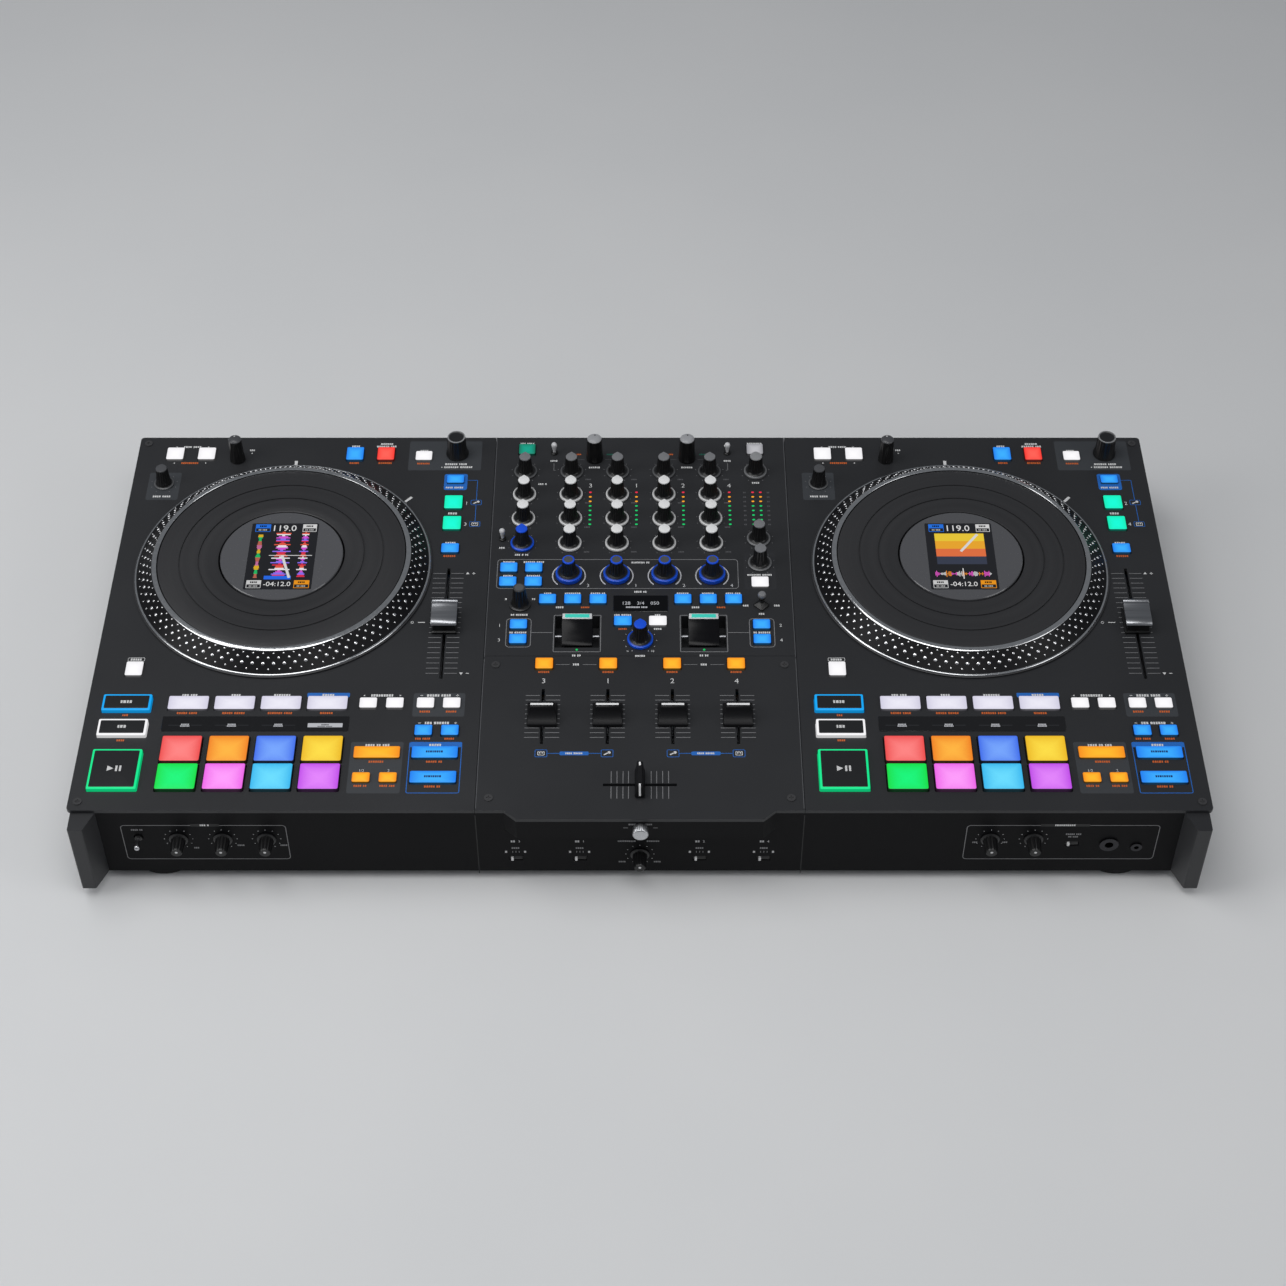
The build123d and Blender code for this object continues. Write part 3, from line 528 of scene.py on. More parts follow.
# %% [markdown]
# ## Strokes, outlines and digits
# The plates carry printed marks: scale lines, boxes round groups, arrows and channel numbers. Printing is a
# thin film of ink, so each mark is a closed slab that starts just below the paint and stands six hundredths
# of a millimetre proud of it. Words are left out: short dashes keep the rhythm of a printed plate without
# saying anything. Numbers are Blender's own font, extruded by about the same small height.

# %% Marks that lie on a face
SUNK, PROUD = -0.02, 0.06
INK_LOW = PLATE / MM + SUNK
INK_HIGH = PLATE / MM + PROUD
FACING_UP = np.eye(3)
FACING_FRONT = np.array([[1, 0, 0], [0, 0, 1], [0, -1, 0]], float)


def laid(points, spot, facing):
    """Points drawn flat, turned to the way a face looks and moved to a spot on it."""
    return points @ facing + np.asarray(spot, float)


def stroke(shape, start, end, width, tint, low=INK_LOW, high=INK_HIGH, finish=0):
    """A straight mark on a top plate: a box section pushed from start to end."""
    start, end = np.asarray(start, float), np.asarray(end, float)
    ahead = (end - start) / np.linalg.norm(end - start)
    side = np.array([-ahead[1], ahead[0]]) * width / 2
    section = [(-side, low), (side, low), (side, high), (-side, high)]
    rows = [[np.append(spot + offset, height) for offset, height in section] for spot in (start, end)]
    shape.grid(np.array(rows), tint, finish)


def arc(shape, centre, radius, width, first, last, tint, steps=24):
    """A curved mark: the same box section carried round a centre between two angles in degrees."""
    turn = np.radians(np.linspace(first, last, steps))[:, None]
    reach = np.array([radius - width / 2, radius + width / 2, radius + width / 2, radius - width / 2])
    height = np.broadcast_to([INK_HIGH, INK_HIGH, INK_LOW, INK_LOW], (steps, 4))
    grid = np.stack([reach * np.cos(turn) + centre[0], reach * np.sin(turn) + centre[1], height], -1)
    shape.grid(grid, tint)


def outline(shape, box, line, tint, corner=2.5, spot=(0, 0, PLATE / MM), facing=FACING_UP, finish=0):
    """The border of a rounded rectangle given as (left, right, near, far): outer and inner rounded rings."""
    left, right, near, far = box
    middle = np.array([(left + right) / 2, (near + far) / 2])
    rings = []
    for inset, height in ((0, SUNK), (0, PROUD), (line, PROUD), (line, SUNK)):
        ring = rounded(right - left - 2 * inset, far - near - 2 * inset, max(corner - inset, 0.2)) + middle
        rings.append(np.column_stack([ring, np.full(len(ring), height)]))
    shape.grid(laid(np.array(rings), spot, facing), tint, finish, (False, False), True)


def patch(shape, box, tint, corner=2.0, low=INK_LOW, high=INK_HIGH - 0.02, finish=0):
    """A filled rounded rectangle given as (left, right, near, far)."""
    left, right, near, far = box
    middle = ((left + right) / 2, (near + far) / 2)
    grid, place = stack(middle, right - left, far - near, corner, [(0, low), (0, high)])
    shape.grid(grid, tint, finish, place=place)


def dashes(shape, x, y, words, tint, size=1.5, spot=(0, 0, PLATE / MM), facing=FACING_UP, finish=0):
    """A printed line without letters: for each word a row of small upright blocks, centred on a point.
    Block k of a word is 0.5 to 0.75 of the size wide, after a cosine of its number."""
    widths = [[size * (0.62 + 0.13 * math.cos(2.4 * k + count)) for k in range(count)] for count in words]
    space = size * 0.22
    total = sum(sum(word) + space * len(word) for word in widths) + size * 0.5 * (len(words) - 1)
    left = x - total / 2
    for word in widths:
        for wide in word:
            ring = np.array([(0, 0), (wide, 0), (wide, size), (0, size)]) + (left, y - size / 2)
            rows = [np.column_stack([ring, np.full(4, height)]) for height in (SUNK, PROUD)]
            shape.grid(laid(np.array(rows), spot, facing), tint, finish)
            left += wide + space
        left += size * 0.5


def digits(shape, words, x, y, size, tint, spot=(0, 0, PLATE / MM), facing=FACING_UP, finish=0):
    """Numbers or plain signs as extruded type, centred on a point."""
    curve = bpy.data.curves.new("digits", "FONT")
    curve.body = words
    curve.size = size
    curve.extrude = 0.05
    curve.resolution_u = 3
    holder = bpy.data.objects.new("digits", curve)
    mesh = bpy.data.meshes.new_from_object(holder)
    points = np.empty(len(mesh.vertices) * 3, np.float32)
    mesh.vertices.foreach_get("co", points)
    points = points.reshape(-1, 3).astype(float)
    points[:, :2] += np.array([x, y]) - (points[:, :2].min(0) + points[:, :2].max(0)) / 2
    shape.loose(laid(points, spot, facing), [list(face.vertices) for face in mesh.polygons], tint, finish)
    bpy.data.objects.remove(holder)
    bpy.data.curves.remove(curve)


def dot(shape, x, y, radius, tint, spot=(0, 0, PLATE / MM), facing=FACING_UP, finish=0):
    """A small round mark with eight sides."""
    ring = circle(8, 0.39) * radius + (x, y)
    rows = [np.column_stack([ring, np.full(8, height)]) for height in (SUNK, PROUD)]
    shape.grid(laid(np.array(rows), spot, facing), tint, finish)


def dots(shape, x, y, reach, count, tint, radius=0.32, spot=(0, 0, PLATE / MM), facing=FACING_UP):
    """The dots of a knob's scale: count of them over 300 degrees, with the gap towards the reader."""
    for turn in np.radians(np.linspace(-60, 240, count)):
        dot(shape, x + reach * math.cos(turn), y + reach * math.sin(turn), radius, tint, spot, facing)


def triangle(shape, x, y, size, up, tint, turn=0.0):
    """A small solid arrow head that points to the back, or to the front when up is -1."""
    angle = np.radians(90 * up + turn + np.array([0, 120, 240]))
    ring = np.stack([x + size * np.cos(angle), y + size * np.sin(angle)], 1)
    rows = [np.column_stack([ring, np.full(3, height)]) for height in (INK_LOW, INK_HIGH)]
    shape.grid(np.array(rows), tint)


# %% Colours of ink, light and plastic
WHITE = tone(226, 226, 226)
BRIGHT_WHITE = tone(255, 255, 255)
DIM = tone(136, 136, 138)
FAINT = tone(92, 92, 95)
PANEL_GREY = tone(62, 65, 69)
INK_BLUE = tone(34, 112, 204)
INK_ORANGE = tone(214, 104, 44)
BLACK = tone(14, 14, 15)
PLASTIC = tone(20, 20, 21)
LIT = {
    "white": tone(244, 243, 245),
    "pearl": tone(180, 180, 184),
    "lavender": tone(226, 224, 236),
    "blue": tone(52, 168, 246),
    "azure": tone(0, 164, 242),
    "red": tone(249, 92, 80),
    "teal": tone(0, 243, 208),
    "pine": tone(0, 154, 130),
    "orange": tone(249, 180, 34),
    "green": tone(0, 230, 142),
    "coral": tone(243, 124, 123),
    "amber": tone(244, 172, 56),
    "cobalt": tone(110, 156, 241),
    "yellow": tone(242, 211, 62),
    "leaf": tone(0, 234, 116),
    "pink": tone(243, 148, 240),
    "sky": tone(98, 210, 243),
    "violet": tone(216, 124, 240),
}
print("lit colours:", len(LIT))


def shaded(tint, share):
    """Painted shade: the same colour with less light, for the walls of lit caps and pads, which their own lamp
    also lights less.
    """
    return tuple(part * share for part in tint[:3]) + (1.0,)


# %% [markdown]
# ## Paints for light, ink and knobs
# A lit cap is milky plastic over a lamp: palest where the lamp is near, deeper and purer at its edge. Light
# that has passed twice as far is the tint times itself, which is what the rim shows. One paint serves them
# all, because each cap's colour is stored in its mesh as the attribute "tint", and its place in the cap as a
# UV map. Ink and knob plastic read the same attribute.

# %% Lit plastic, ink and tinted plastic


def tinted(paint):
    """The colour stored in the mesh."""
    return paint.node("Attribute", {"attribute_name": "tint"}, output="Color")


def lit_paint(name, strength, deep, edge, power=3.0):
    """Milky lit plastic. With e = 2|u - 1/2| or 1.7|v - 0.42|, whichever is more, to the given power, the
    light goes from the tint to the tint squared by deep * e, and gets darker by edge * e."""
    paint = Paint(name, roughness=0.40, emission_strength=strength, specular_ior_level=0.30)
    split = paint.node("SeparateXYZ", values={"Vector": paint.node("UVMap", {"uv_map": "place"})})
    across = (split - 0.5).size() * 2.0
    along = (Signal(paint, split.socket.node.outputs["Y"]) - 0.42).size() * 1.7
    rim_share = across.most(along) ** power
    milk = paint.noise(420.0, 3.0)
    colour = tinted(paint)
    values = {"Factor": rim_share * deep, "A": colour, "B": colour}
    purer = paint.node("Mix", {"data_type": "RGBA", "blend_type": "MULTIPLY"}, values, output="Result")
    shade = paint.blend(rim_share * edge, purer, (0, 0, 0, 1))
    paint.feed(emission_color=shade, base_color=paint.blend(milk * 0.1 + 0.80, colour, (0.01, 0.01, 0.01, 1)))
    paint.feed(roughness=milk * 0.16 + 0.34)
    return paint.bump(milk, 0.15, 0.00003)


def tinted_paint(name, rough, grain, depth):
    """Plastic or ink of the mesh's own colour, with a fine grain in colour, roughness and bump."""
    paint = Paint(name, roughness=rough, specular_ior_level=0.45)
    speck = paint.noise(grain, 3.0)
    colour = tinted(paint)
    paint.feed(base_color=paint.blend(speck * 0.2, colour, (0.0, 0.0, 0.0, 1)))
    paint.feed(roughness=speck * 0.16 + (rough - 0.08))
    return paint.bump(speck, 0.3, depth)


def screen_paint(name, strength):
    """A lit picture under glass: the tint shines, and a fine grid of cells darkens it a little."""
    values = {"roughness": 0.12, "emission_strength": strength, "specular_ior_level": 0.15}
    paint = Paint(name, base_color=(0.002, 0.002, 0.002, 1), **values)
    place = paint.node("TexCoord", output="Object")
    values = {"Vector": place, "Scale": 2600.0, "Randomness": 0.0}
    cells = paint.node("TexVoronoi", {"distance": "CHEBYCHEV"}, values)
    paint.feed(emission_color=paint.blend(cells * 0.35, tinted(paint), (0, 0, 0, 1)))
    return paint


lit_plastic = lit_paint("lit_plastic", 0.98, 0.9, 0.08, 2.2)
pad_silicone = lit_paint("pad_silicone", 0.99, 1.0, 0.08, 2.0)
lamp_plastic = lit_paint("lamp_plastic", 1.0, 0.3, 0.1)
ink = tinted_paint("ink", 0.50, 1800.0, 0.00002)
knob_plastic = tinted_paint("knob_plastic", 0.31, 2400.0, 0.00005)
screen_glow = screen_paint("screen_glow", 0.95)
print("tinted paints made")

# %% [markdown]
# ## Platters
# A motor-driven platter is a turned aluminium casting. Its skirt slopes down to a polished rim and carries
# four rings of polished studs on a black ground, and a bright bevel frames the record. One closed profile is
# turned about the platter's axis, with a finish number for each band. The studs are small low domes that
# stand on the slope, all made from one dome by turning it round the axis.

# %% Platter paints: black ground, bright edges and studs
ground_tones = grey(0.003, 0.001), grey(0.008, 0.001)
platter_black = coated("platter_black", *ground_tones, 0.36, 1800.0, 0.00006, 0.18)
platter_bright = bare_metal("platter_bright", (0.86, 0.87, 0.88, 1), 0.17, (1, 1, 5), 340.0)
stud_bright = bare_metal("stud_bright", (0.93, 0.93, 0.94, 1), 0.14, (1, 1, 1), 900.0)
lip_grey = coated("lip_grey", grey(0.022, 0.002), grey(0.040, 0.003), 0.42, 1200.0, 0.00005)

# %% The platter's profile and its studs
SLOPE_LOW = (115.0, 83.65)
SLOPE_HIGH = (101.6, 94.45)
STUD_RINGS = ((112.3, 0.8), (108.9, 1.5), (105.5, 1.1), (102.9, 0.75))
STUDS = 84


def platter_profile(low):
    """(radius, height, finish of the band above) round the section of the platter, from its bearing outwards
    and back over the top. Finish 0 is black, 1 bright and 2 the grey lip."""
    return [
        (30.05, low, 0), (34.0, low, 0), (34.0, 82.5, 0), (54.0, 82.5, 0), (54.0, 87.0, 0), (98.0, 87.0, 0),
        (111.0, 81.6, 0), (117.2, 81.6, 2), (117.6, 81.9, 2), (117.6, 82.3, 2), (117.3, 82.6, 2),
        (116.6, 82.7, 0), (116.5, 82.9, 1), (116.3, 83.35, 1), (115.9, 83.6, 1), (115.3, 83.75, 1),
        SLOPE_LOW + (0,), (111.6, 86.39, 0), (106.6, 90.42, 0), SLOPE_HIGH + (1,), (101.2, 94.85, 1),
        (100.6, 95.05, 1), (99.2, 95.35, 1), (98.5, 95.4, 1), (98.0, 95.3, 1), (97.7, 94.95, 0),
        (97.6, 94.4, 0), (97.6, 91.0, 0), (51.0, 91.0, 0), (51.0, 86.5, 0), (30.05, 86.5, 0),
    ]


def studs(shape, centre, ring_radius, stud, shift):
    """Domes round one ring. A dome stands on the slope: e1 runs round the ring, e2 up the slope and e3 out
    of it. A point is spot + a * (x e1 + y e2 + z e3), turned about the axis by the stud's own angle."""
    share = (SLOPE_LOW[0] - ring_radius) / (SLOPE_LOW[0] - SLOPE_HIGH[0])
    height = SLOPE_LOW[1] + share * (SLOPE_HIGH[1] - SLOPE_LOW[1])
    up = np.array([SLOPE_HIGH[0] - SLOPE_LOW[0], SLOPE_HIGH[1] - SLOPE_LOW[1]])
    up = up / np.linalg.norm(up)
    ring = circle(9)
    levels = ((1.0, -0.12), (1.0, 0.05), (0.86, 0.28), (0.52, 0.44))
    dome = np.array([np.column_stack([ring * wide, np.full(9, rise)]) for wide, rise in levels]) * stud
    outward = ring_radius + dome[..., 1] * up[0] + dome[..., 2] * up[1]
    level = height + dome[..., 1] * up[1] - dome[..., 2] * up[0]
    for turn in (np.arange(STUDS) + shift) * 2 * np.pi / STUDS:
        across = outward * math.cos(turn) + dome[..., 0] * math.sin(turn)
        along = outward * math.sin(turn) - dome[..., 0] * math.cos(turn)
        shape.grid(np.stack([across, along, level], -1) + centre, finish=3, caps=(False, True))


for side in ("left", "right"):
    low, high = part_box(f"{side}_platter")
    middle = np.array([(low.x + high.x) / 2, (low.y + high.y) / 2, 0]) / MM
    profile = platter_profile(low.z / MM)
    shape = Shape()
    grid = turned(middle, [row[:2] for row in profile], 240)
    shape.grid(grid, finish=[row[2] for row in profile], loop=True)
    for number, (ring_radius, stud) in enumerate(STUD_RINGS):
        studs(shape, middle, ring_radius, stud, 0.5 * (number % 2))
    finishes = [platter_black, platter_bright, lip_grey, stud_bright]
    node = f"{side}_platter"
    piece = shape.piece(f"{side}_strobe_platter", node, finishes, "platter_metal", [node])
    print(piece.name, len(piece.data.polygons), "faces")

# %% [markdown]
# ## Records
# The disc is pressed vinyl: satin black with fine rings of uneven depth, and two wider gaps. The gaps are
# real channels in the profile. The fine rings are noise of one variable, the distance from the axis, which
# each point carries in its UV map, so they stay round as the disc turns.

# %% Vinyl paint and the two records
vinyl = Paint("vinyl", roughness=0.36, base_color=(0.012, 0.012, 0.013, 1), anisotropic=0.35)
reach = vinyl.node("SeparateXYZ", values={"Vector": vinyl.node("UVMap", {"uv_map": "place"})})
line = {"noise_dimensions": "1D"}
fine_rings = vinyl.node("TexNoise", line, {"W": reach * 150.0, "Scale": 1.0, "Detail": 3.0})
wide_rings = vinyl.node("TexNoise", line, {"W": reach * 22.0, "Scale": 1.0, "Detail": 2.0})
vinyl.feed(roughness=fine_rings * 0.14 + wide_rings * 0.05 + 0.27)
vinyl.feed(base_color=vinyl.blend(wide_rings, (0.024, 0.024, 0.026, 1), (0.031, 0.031, 0.033, 1)))
vinyl.bump(fine_rings, 0.5, 0.00012)
GAPS = (80.0, 65.0)

for side in ("left", "right"):
    low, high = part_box(f"{side}_record")
    middle = np.array([(low.x + high.x) / 2, (low.y + high.y) / 2, 0]) / MM
    edge, top, foot, hole = (high.x - low.x) / 2 / MM, high.z / MM, low.z / MM, 49.5
    profile = [(hole, foot), (edge, foot), (edge, top - 0.7), (edge - 0.25, top - 0.2), (edge - 0.8, top)]
    for gap in GAPS:
        profile += [(gap + 0.6, top), (gap + 0.5, top - 0.8), (gap - 0.5, top - 0.8), (gap - 0.6, top)]
    profile += [(hole + 0.8, top), (hole + 0.2, top - 0.25), (hole, top - 0.8)]
    grid = turned(middle, profile, 200)
    place = np.zeros(grid.shape[:2] + (2,))
    place[..., 0] = np.array([row[0] for row in profile])[:, None] / 100
    disc = Shape().grid(grid, loop=True, place=place)
    disc.piece(f"{side}_vinyl_disc", f"{side}_platter", [vinyl], "record_black", [f"{side}_record"])
    print(side, "disc radius", round(edge, 1), "mm")

# %% [markdown]
# ## Centre screens
# Under each smoked glass a small upright screen shows the track. Its picture is built from flat glowing
# shapes a tenth of a millimetre thick: label boxes, a tempo and a time in plain digits, and bands of sound
# level whose widths are a sum of sines. The left screen shows three columns of bands, the right one a plain
# coloured field with a needle and a row of levels beneath.

# %% Screen layout, in millimetres from the screen's middle
SCREEN_BLACK = tone(6, 7, 10)
SCREEN_GREY = tone(36, 37, 41)
CURVE_TINTS = [tone(200, 110, 90), tone(40, 200, 110), tone(240, 190, 40), tone(214, 120, 170)]
FIELD_TINTS = [tone(250, 214, 60), tone(250, 178, 50), tone(240, 120, 70), tone(60, 66, 84)]
HEAT = [tone(232, 52, 84), tone(150, 120, 255), tone(226, 90, 226), tone(250, 244, 250), tone(240, 96, 70)]


def glow(shape, centre, left, right, near, far, tint, level=1):
    """A lit rectangle on the glass, a number of layers up."""
    x, y, z = centre
    patch(shape, (x + left, x + right, y + near, y + far), tint, 0.3, z + 0.02, z + 0.06 + 0.05 * level)


def label_box(shape, centre, left, near, wide, tint):
    """A small box with a filled upper half and two short dashes beneath."""
    glow(shape, centre, left, left + wide, near + 4.0, near + 8.4, tint)
    x, y, z = centre
    box = (x + left, x + left + wide, y + near, y + near + 4.4)
    outline(shape, box, 0.45, tint, 0.4, (0, 0, z + 0.08))
    dashes(shape, x + left + wide / 2, y + near + 2.1, (2, 3), tone(180, 180, 180), 1.5, (0, 0, z + 0.08))
    dashes(shape, x + left + wide / 2, y + near + 6.2, (4,), SCREEN_BLACK, 1.7, (0, 0, z + 0.14))


def level_at(place, pitch=1.0):
    """How loud the track is at a place, from 0 to 1: the size of a sum of three sines."""
    wave = np.sin(1.9 * pitch * place) + 0.6 * np.sin(4.3 * place + 1) + 0.4 * np.sin(0.7 * place + 2)
    return np.clip(np.abs(wave) / 1.7, 0.12, 1.0)


def needle(shape, centre, start, end):
    """The white hand that shows how far the platter has turned."""
    x, y, z = centre
    stroke(shape, (x + start[0], y + start[1]), (x + end[0], y + end[1]), 2.1, WHITE, z + 0.16, z + 0.24)


def band_column(shape, centre, middle, widest, near, far, step):
    """Sound bands one above the other, each as wide as the level there. Colours follow the level's order."""
    places = np.arange(near, far, step)
    for number, (place, level) in enumerate(zip(places, level_at(places, 0.9))):
        tint = HEAT[(number // 2) % len(HEAT)]
        half = widest / 2 * level
        glow(shape, centre, middle - half, middle + half, place, place + step * 0.92, tint)


def common_rows(shape, centre, tempo, time):
    """What both screens show: label boxes in the corners, the tempo above and the time below."""
    x, y, z = centre
    label_box(shape, centre, -23.5, 27.0, 12.0, tone(40, 120, 235))
    label_box(shape, centre, 14.0, 27.0, 11.0, tone(225, 225, 225))
    label_box(shape, centre, -24.5, -35.0, 11.5, tone(215, 215, 215))
    label_box(shape, centre, 12.5, -35.0, 12.0, tone(250, 160, 30))
    digits(shape, tempo, x, y + 31.0, 9.0, tone(235, 235, 235), (0, 0, z + 0.12))
    digits(shape, time, x - 0.6, y - 30.6, 6.6, tone(235, 235, 235), (0, 0, z + 0.12))


# %% Both screens: three columns of sound bands on the left, a field and a needle on the right
low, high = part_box("jog_displays")
glass_top = high.z / MM
for side in ("left", "right"):
    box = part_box(f"{side}_record")
    x, y = (box[0].x + box[1].x) / 2 / MM, (box[0].y + box[1].y) / 2 / MM
    spot = (x, y - 1.0, glass_top)
    screen = Shape()
    face = (x - 26.5, x + 26.5, y - 37.5, y + 35.5)
    patch(screen, face, SCREEN_GREY, 1.2, glass_top - 0.05, glass_top + 0.04)
    common_rows(screen, spot, "119.0", "-04:12.0")
    if side == "left":
        band_column(screen, spot, -0.5, 20.0, -23.0, 26.0, 1.25)
        band_column(screen, spot, 17.0, 10.0, -23.0, 26.0, 1.25)
        for number, place in enumerate(np.arange(-24.0, 24.0, 1.5)):
            tint = CURVE_TINTS[number // 3 % 4]
            half = 0.8 + 1.5 * level_at(place, 2.0)
            glow(screen, spot, -18.5 - half, -18.5 + half, place, place + 1.3, tint)
        glow(screen, spot, -10.0, 24.0, 0.3, 0.9, WHITE, 2)
        glow(screen, spot, -11.5, 9.5, -25.6, -21.8, tone(40, 110, 240), 2)
        needle(screen, spot, (0.5, 0.6), (8.2, -24.0))
    else:
        for number, tint in enumerate(FIELD_TINTS):
            glow(screen, spot, -19.5, 19.5, 16.5 - 8.5 * number, 25.0 - 8.5 * number, tint)
        needle(screen, spot, (0.0, 5.0), (14.5, 24.0))
        places = np.arange(-22.0, 22.0, 0.85)
        for number, (place, level) in enumerate(zip(places, level_at(places, 1.3))):
            tint = [tone(240, 96, 210), WHITE, tone(250, 150, 40)][number // 5 % 3]
            glow(screen, spot, place, place + 0.6, -19.5 - 3.6 * level, -19.5 + 3.6 * level, tint)
        glow(screen, spot, -0.4, 0.4, -25.0, -13.5, WHITE, 2)
    screen.piece(f"{side}_track_screen", "case", [screen_glow], "display_glass")
    print(side, "screen at", round(x, 1), round(y, 1))

# %% [markdown]
# ## Small lit caps
# A cap is a rounded block of milky plastic that passes through the plate and is kept in by a flange below
# it. It is a stack of rounded rectangles: foot, flange, wall, and a top with a soft edge. Places and sizes
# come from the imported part's own solids, and only the colours are listed, in rows from back to front.

# %% A cap from a solid's box
FLANGE = 1.2
FLANGE_LOW, FLANGE_HIGH = 75.0, 76.8
CAP_CORNER = 1.2
INK_DEEP = tone(8, 40, 110)


def cap(shape, box, tint, edge=0.7, wall=0.14):
    """Rings (inset, height) from the foot up: foot, flange, wall, then a quarter-round edge and a flat top.
    The wall is darker than the top: painted shade, the tint times wall."""
    (left, near, low), (right, far, top) = box
    turn = np.linspace(0, np.pi / 2, 4)
    round_edge = [(FLANGE + edge * (1 - math.cos(a)), top - edge + edge * math.sin(a)) for a in turn]
    rings = [(FLANGE, low), (FLANGE, FLANGE_LOW), (0, FLANGE_LOW), (0, FLANGE_HIGH), (FLANGE, FLANGE_HIGH)]
    middle = ((left + right) / 2, (near + far) / 2)
    reach = np.array([right - left, far - near])
    grid, place = stack(middle, *reach, CAP_CORNER + FLANGE, rings + round_edge)
    place = (place - 0.5) * reach / (reach - 2 * FLANGE) + 0.5
    # The foot, flange, wall and the start of the rounded edge carry painted shade; the rest of the edge and
    # the top keep the lit tint.
    rows = [shaded(tint, wall)] * (len(rings) + 1) + [tint] * (len(round_edge) - 1)
    shape.grid(grid, rows, place=place)


def cap_field(name, node, body, colours):
    """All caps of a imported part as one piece, each with its own colour. Wide blue caps carry dark marks."""
    boxes = rows_of(node, 2.0)
    shape = Shape()
    for box, colour in zip(boxes, colours, strict=True):
        cap(shape, box, LIT[colour])
        if colour == "blue" and box[1][0] - box[0][0] > 25:
            x, y, _ = box.mean(0)
            dashes(shape, x, y, (8,), INK_DEEP, 1.9, (0, 0, box[1][2]), finish=1)
    shape.piece(name, body, [lit_plastic, ink], "button_lit", [node])
    return boxes


# %% Deck, mixer and cue caps
DECK_COLOURS = (
    ["white", "white", "blue", "red", "white", "blue", "teal", "teal", "blue", "white"]
    + ["lavender"] * 4 + ["white"] * 4 + ["blue"] * 2 + ["orange", "blue", "orange", "orange", "blue"]
)
deck_caps = {}
for side in ("left", "right"):
    node = f"{side}_deck_buttons"
    deck_caps[side] = cap_field(f"{side}_lit_caps", node, node, DECK_COLOURS)
MIXER_COLOURS = ["pine", "pearl"] + ["blue"] * 4 + ["white"] + ["blue"] * 7 + ["white"] + ["blue"] * 4
mixer_caps = cap_field("mixer_lit_caps", "mixer_buttons", "mixer_buttons", MIXER_COLOURS)
cue_caps = cap_field("cue_lit_caps", "channel_cue_buttons", "channel_cue_buttons", ["orange"] * 4)
print("caps per deck:", len(deck_caps["left"]), "mixer:", len(mixer_caps), "cue:", len(cue_caps))

# %% [markdown]
# ## Play, cue and sync
# These large keys are lit bodies with a dark inlay on top, so that only a frame of light shows, wider in
# front where the wall is seen. The play key carries the usual arrow and two bars, made as raised slabs.

# %% Framed keys
INLAY_INSET = 1.7
FRAMED = {"play": "green", "cue": "white", "sync": "azure"}
INLAY_BLACK = tone(34, 35, 37)
frame_light = lit_paint("frame_light", 0.96, 0.0, 0.05)


def framed_key(side, name, colour):
    """A lit cap under an inlay that stands two tenths of a millimetre proud, with its marks on the inlay."""
    node = f"{side}_{name}_button"
    box = solids(node)[0]
    shape = Shape()
    # The walls keep six tenths of the light: a lighter painted shade than on the small caps.
    cap(shape, box, LIT[colour], 0.8, 0.6)
    (left, near, _), (right, far, top) = box
    inset = FLANGE + INLAY_INSET
    middle = ((left + right) / 2, (near + far) / 2)
    width, depth = right - left - 2 * inset, far - near - 2 * inset
    rings = [(0, top - 0.3), (0, top + 0.05), (0.18, top + 0.2), (0.5, top + 0.22)]
    grid, place = stack(middle, width, depth, 0.8, rings)
    shape.grid(grid, INLAY_BLACK, 1, place=place)
    face = top + 0.22
    if name == "play":
        ring = np.array([(-5.2, -2.6), (-0.6, 0.0), (-5.2, 2.6)]) + middle
        rows = [np.column_stack([ring, np.full(3, height)]) for height in (face - 0.02, face + 0.08)]
        shape.grid(np.array(rows), WHITE, 1)
        for offset in (1.6, 4.4):
            start = (middle[0] + offset, middle[1] - 2.6)
            stroke(shape, start, (start[0], middle[1] + 2.6), 1.5, WHITE, face - 0.02, face + 0.08, 1)
    else:
        dashes(shape, *middle, (4 if name == "sync" else 3,), WHITE, 2.7, (0, 0, face), finish=1)
    shape.piece(f"{side}_{name}_key", node, [frame_light, knob_plastic], "button_lit", [node])


for side in ("left", "right"):
    for name, colour in FRAMED.items():
        framed_key(side, name, colour)
print("framed keys:", 2 * len(FRAMED))

# %% [markdown]
# ## Pads
# The eight pads are keys of one silicone mat. The mat lies under the plate, and the keys stand on it, a
# little proud of the plate, with rounded edges. They are lit from below, brightest in the middle, and their
# walls carry painted shade, so that a black line parts the rows.

# %% Pad mats
PAD_PITCH = (34.8, 26.7)
PAD_SIZE = (29.8, 24.6)
PAD_SHIFT = (0, 0.15)
MAT_HIGH = 73.8
PAD_COLOURS = (("coral", "amber", "cobalt", "yellow"), ("leaf", "pink", "sky", "violet"))

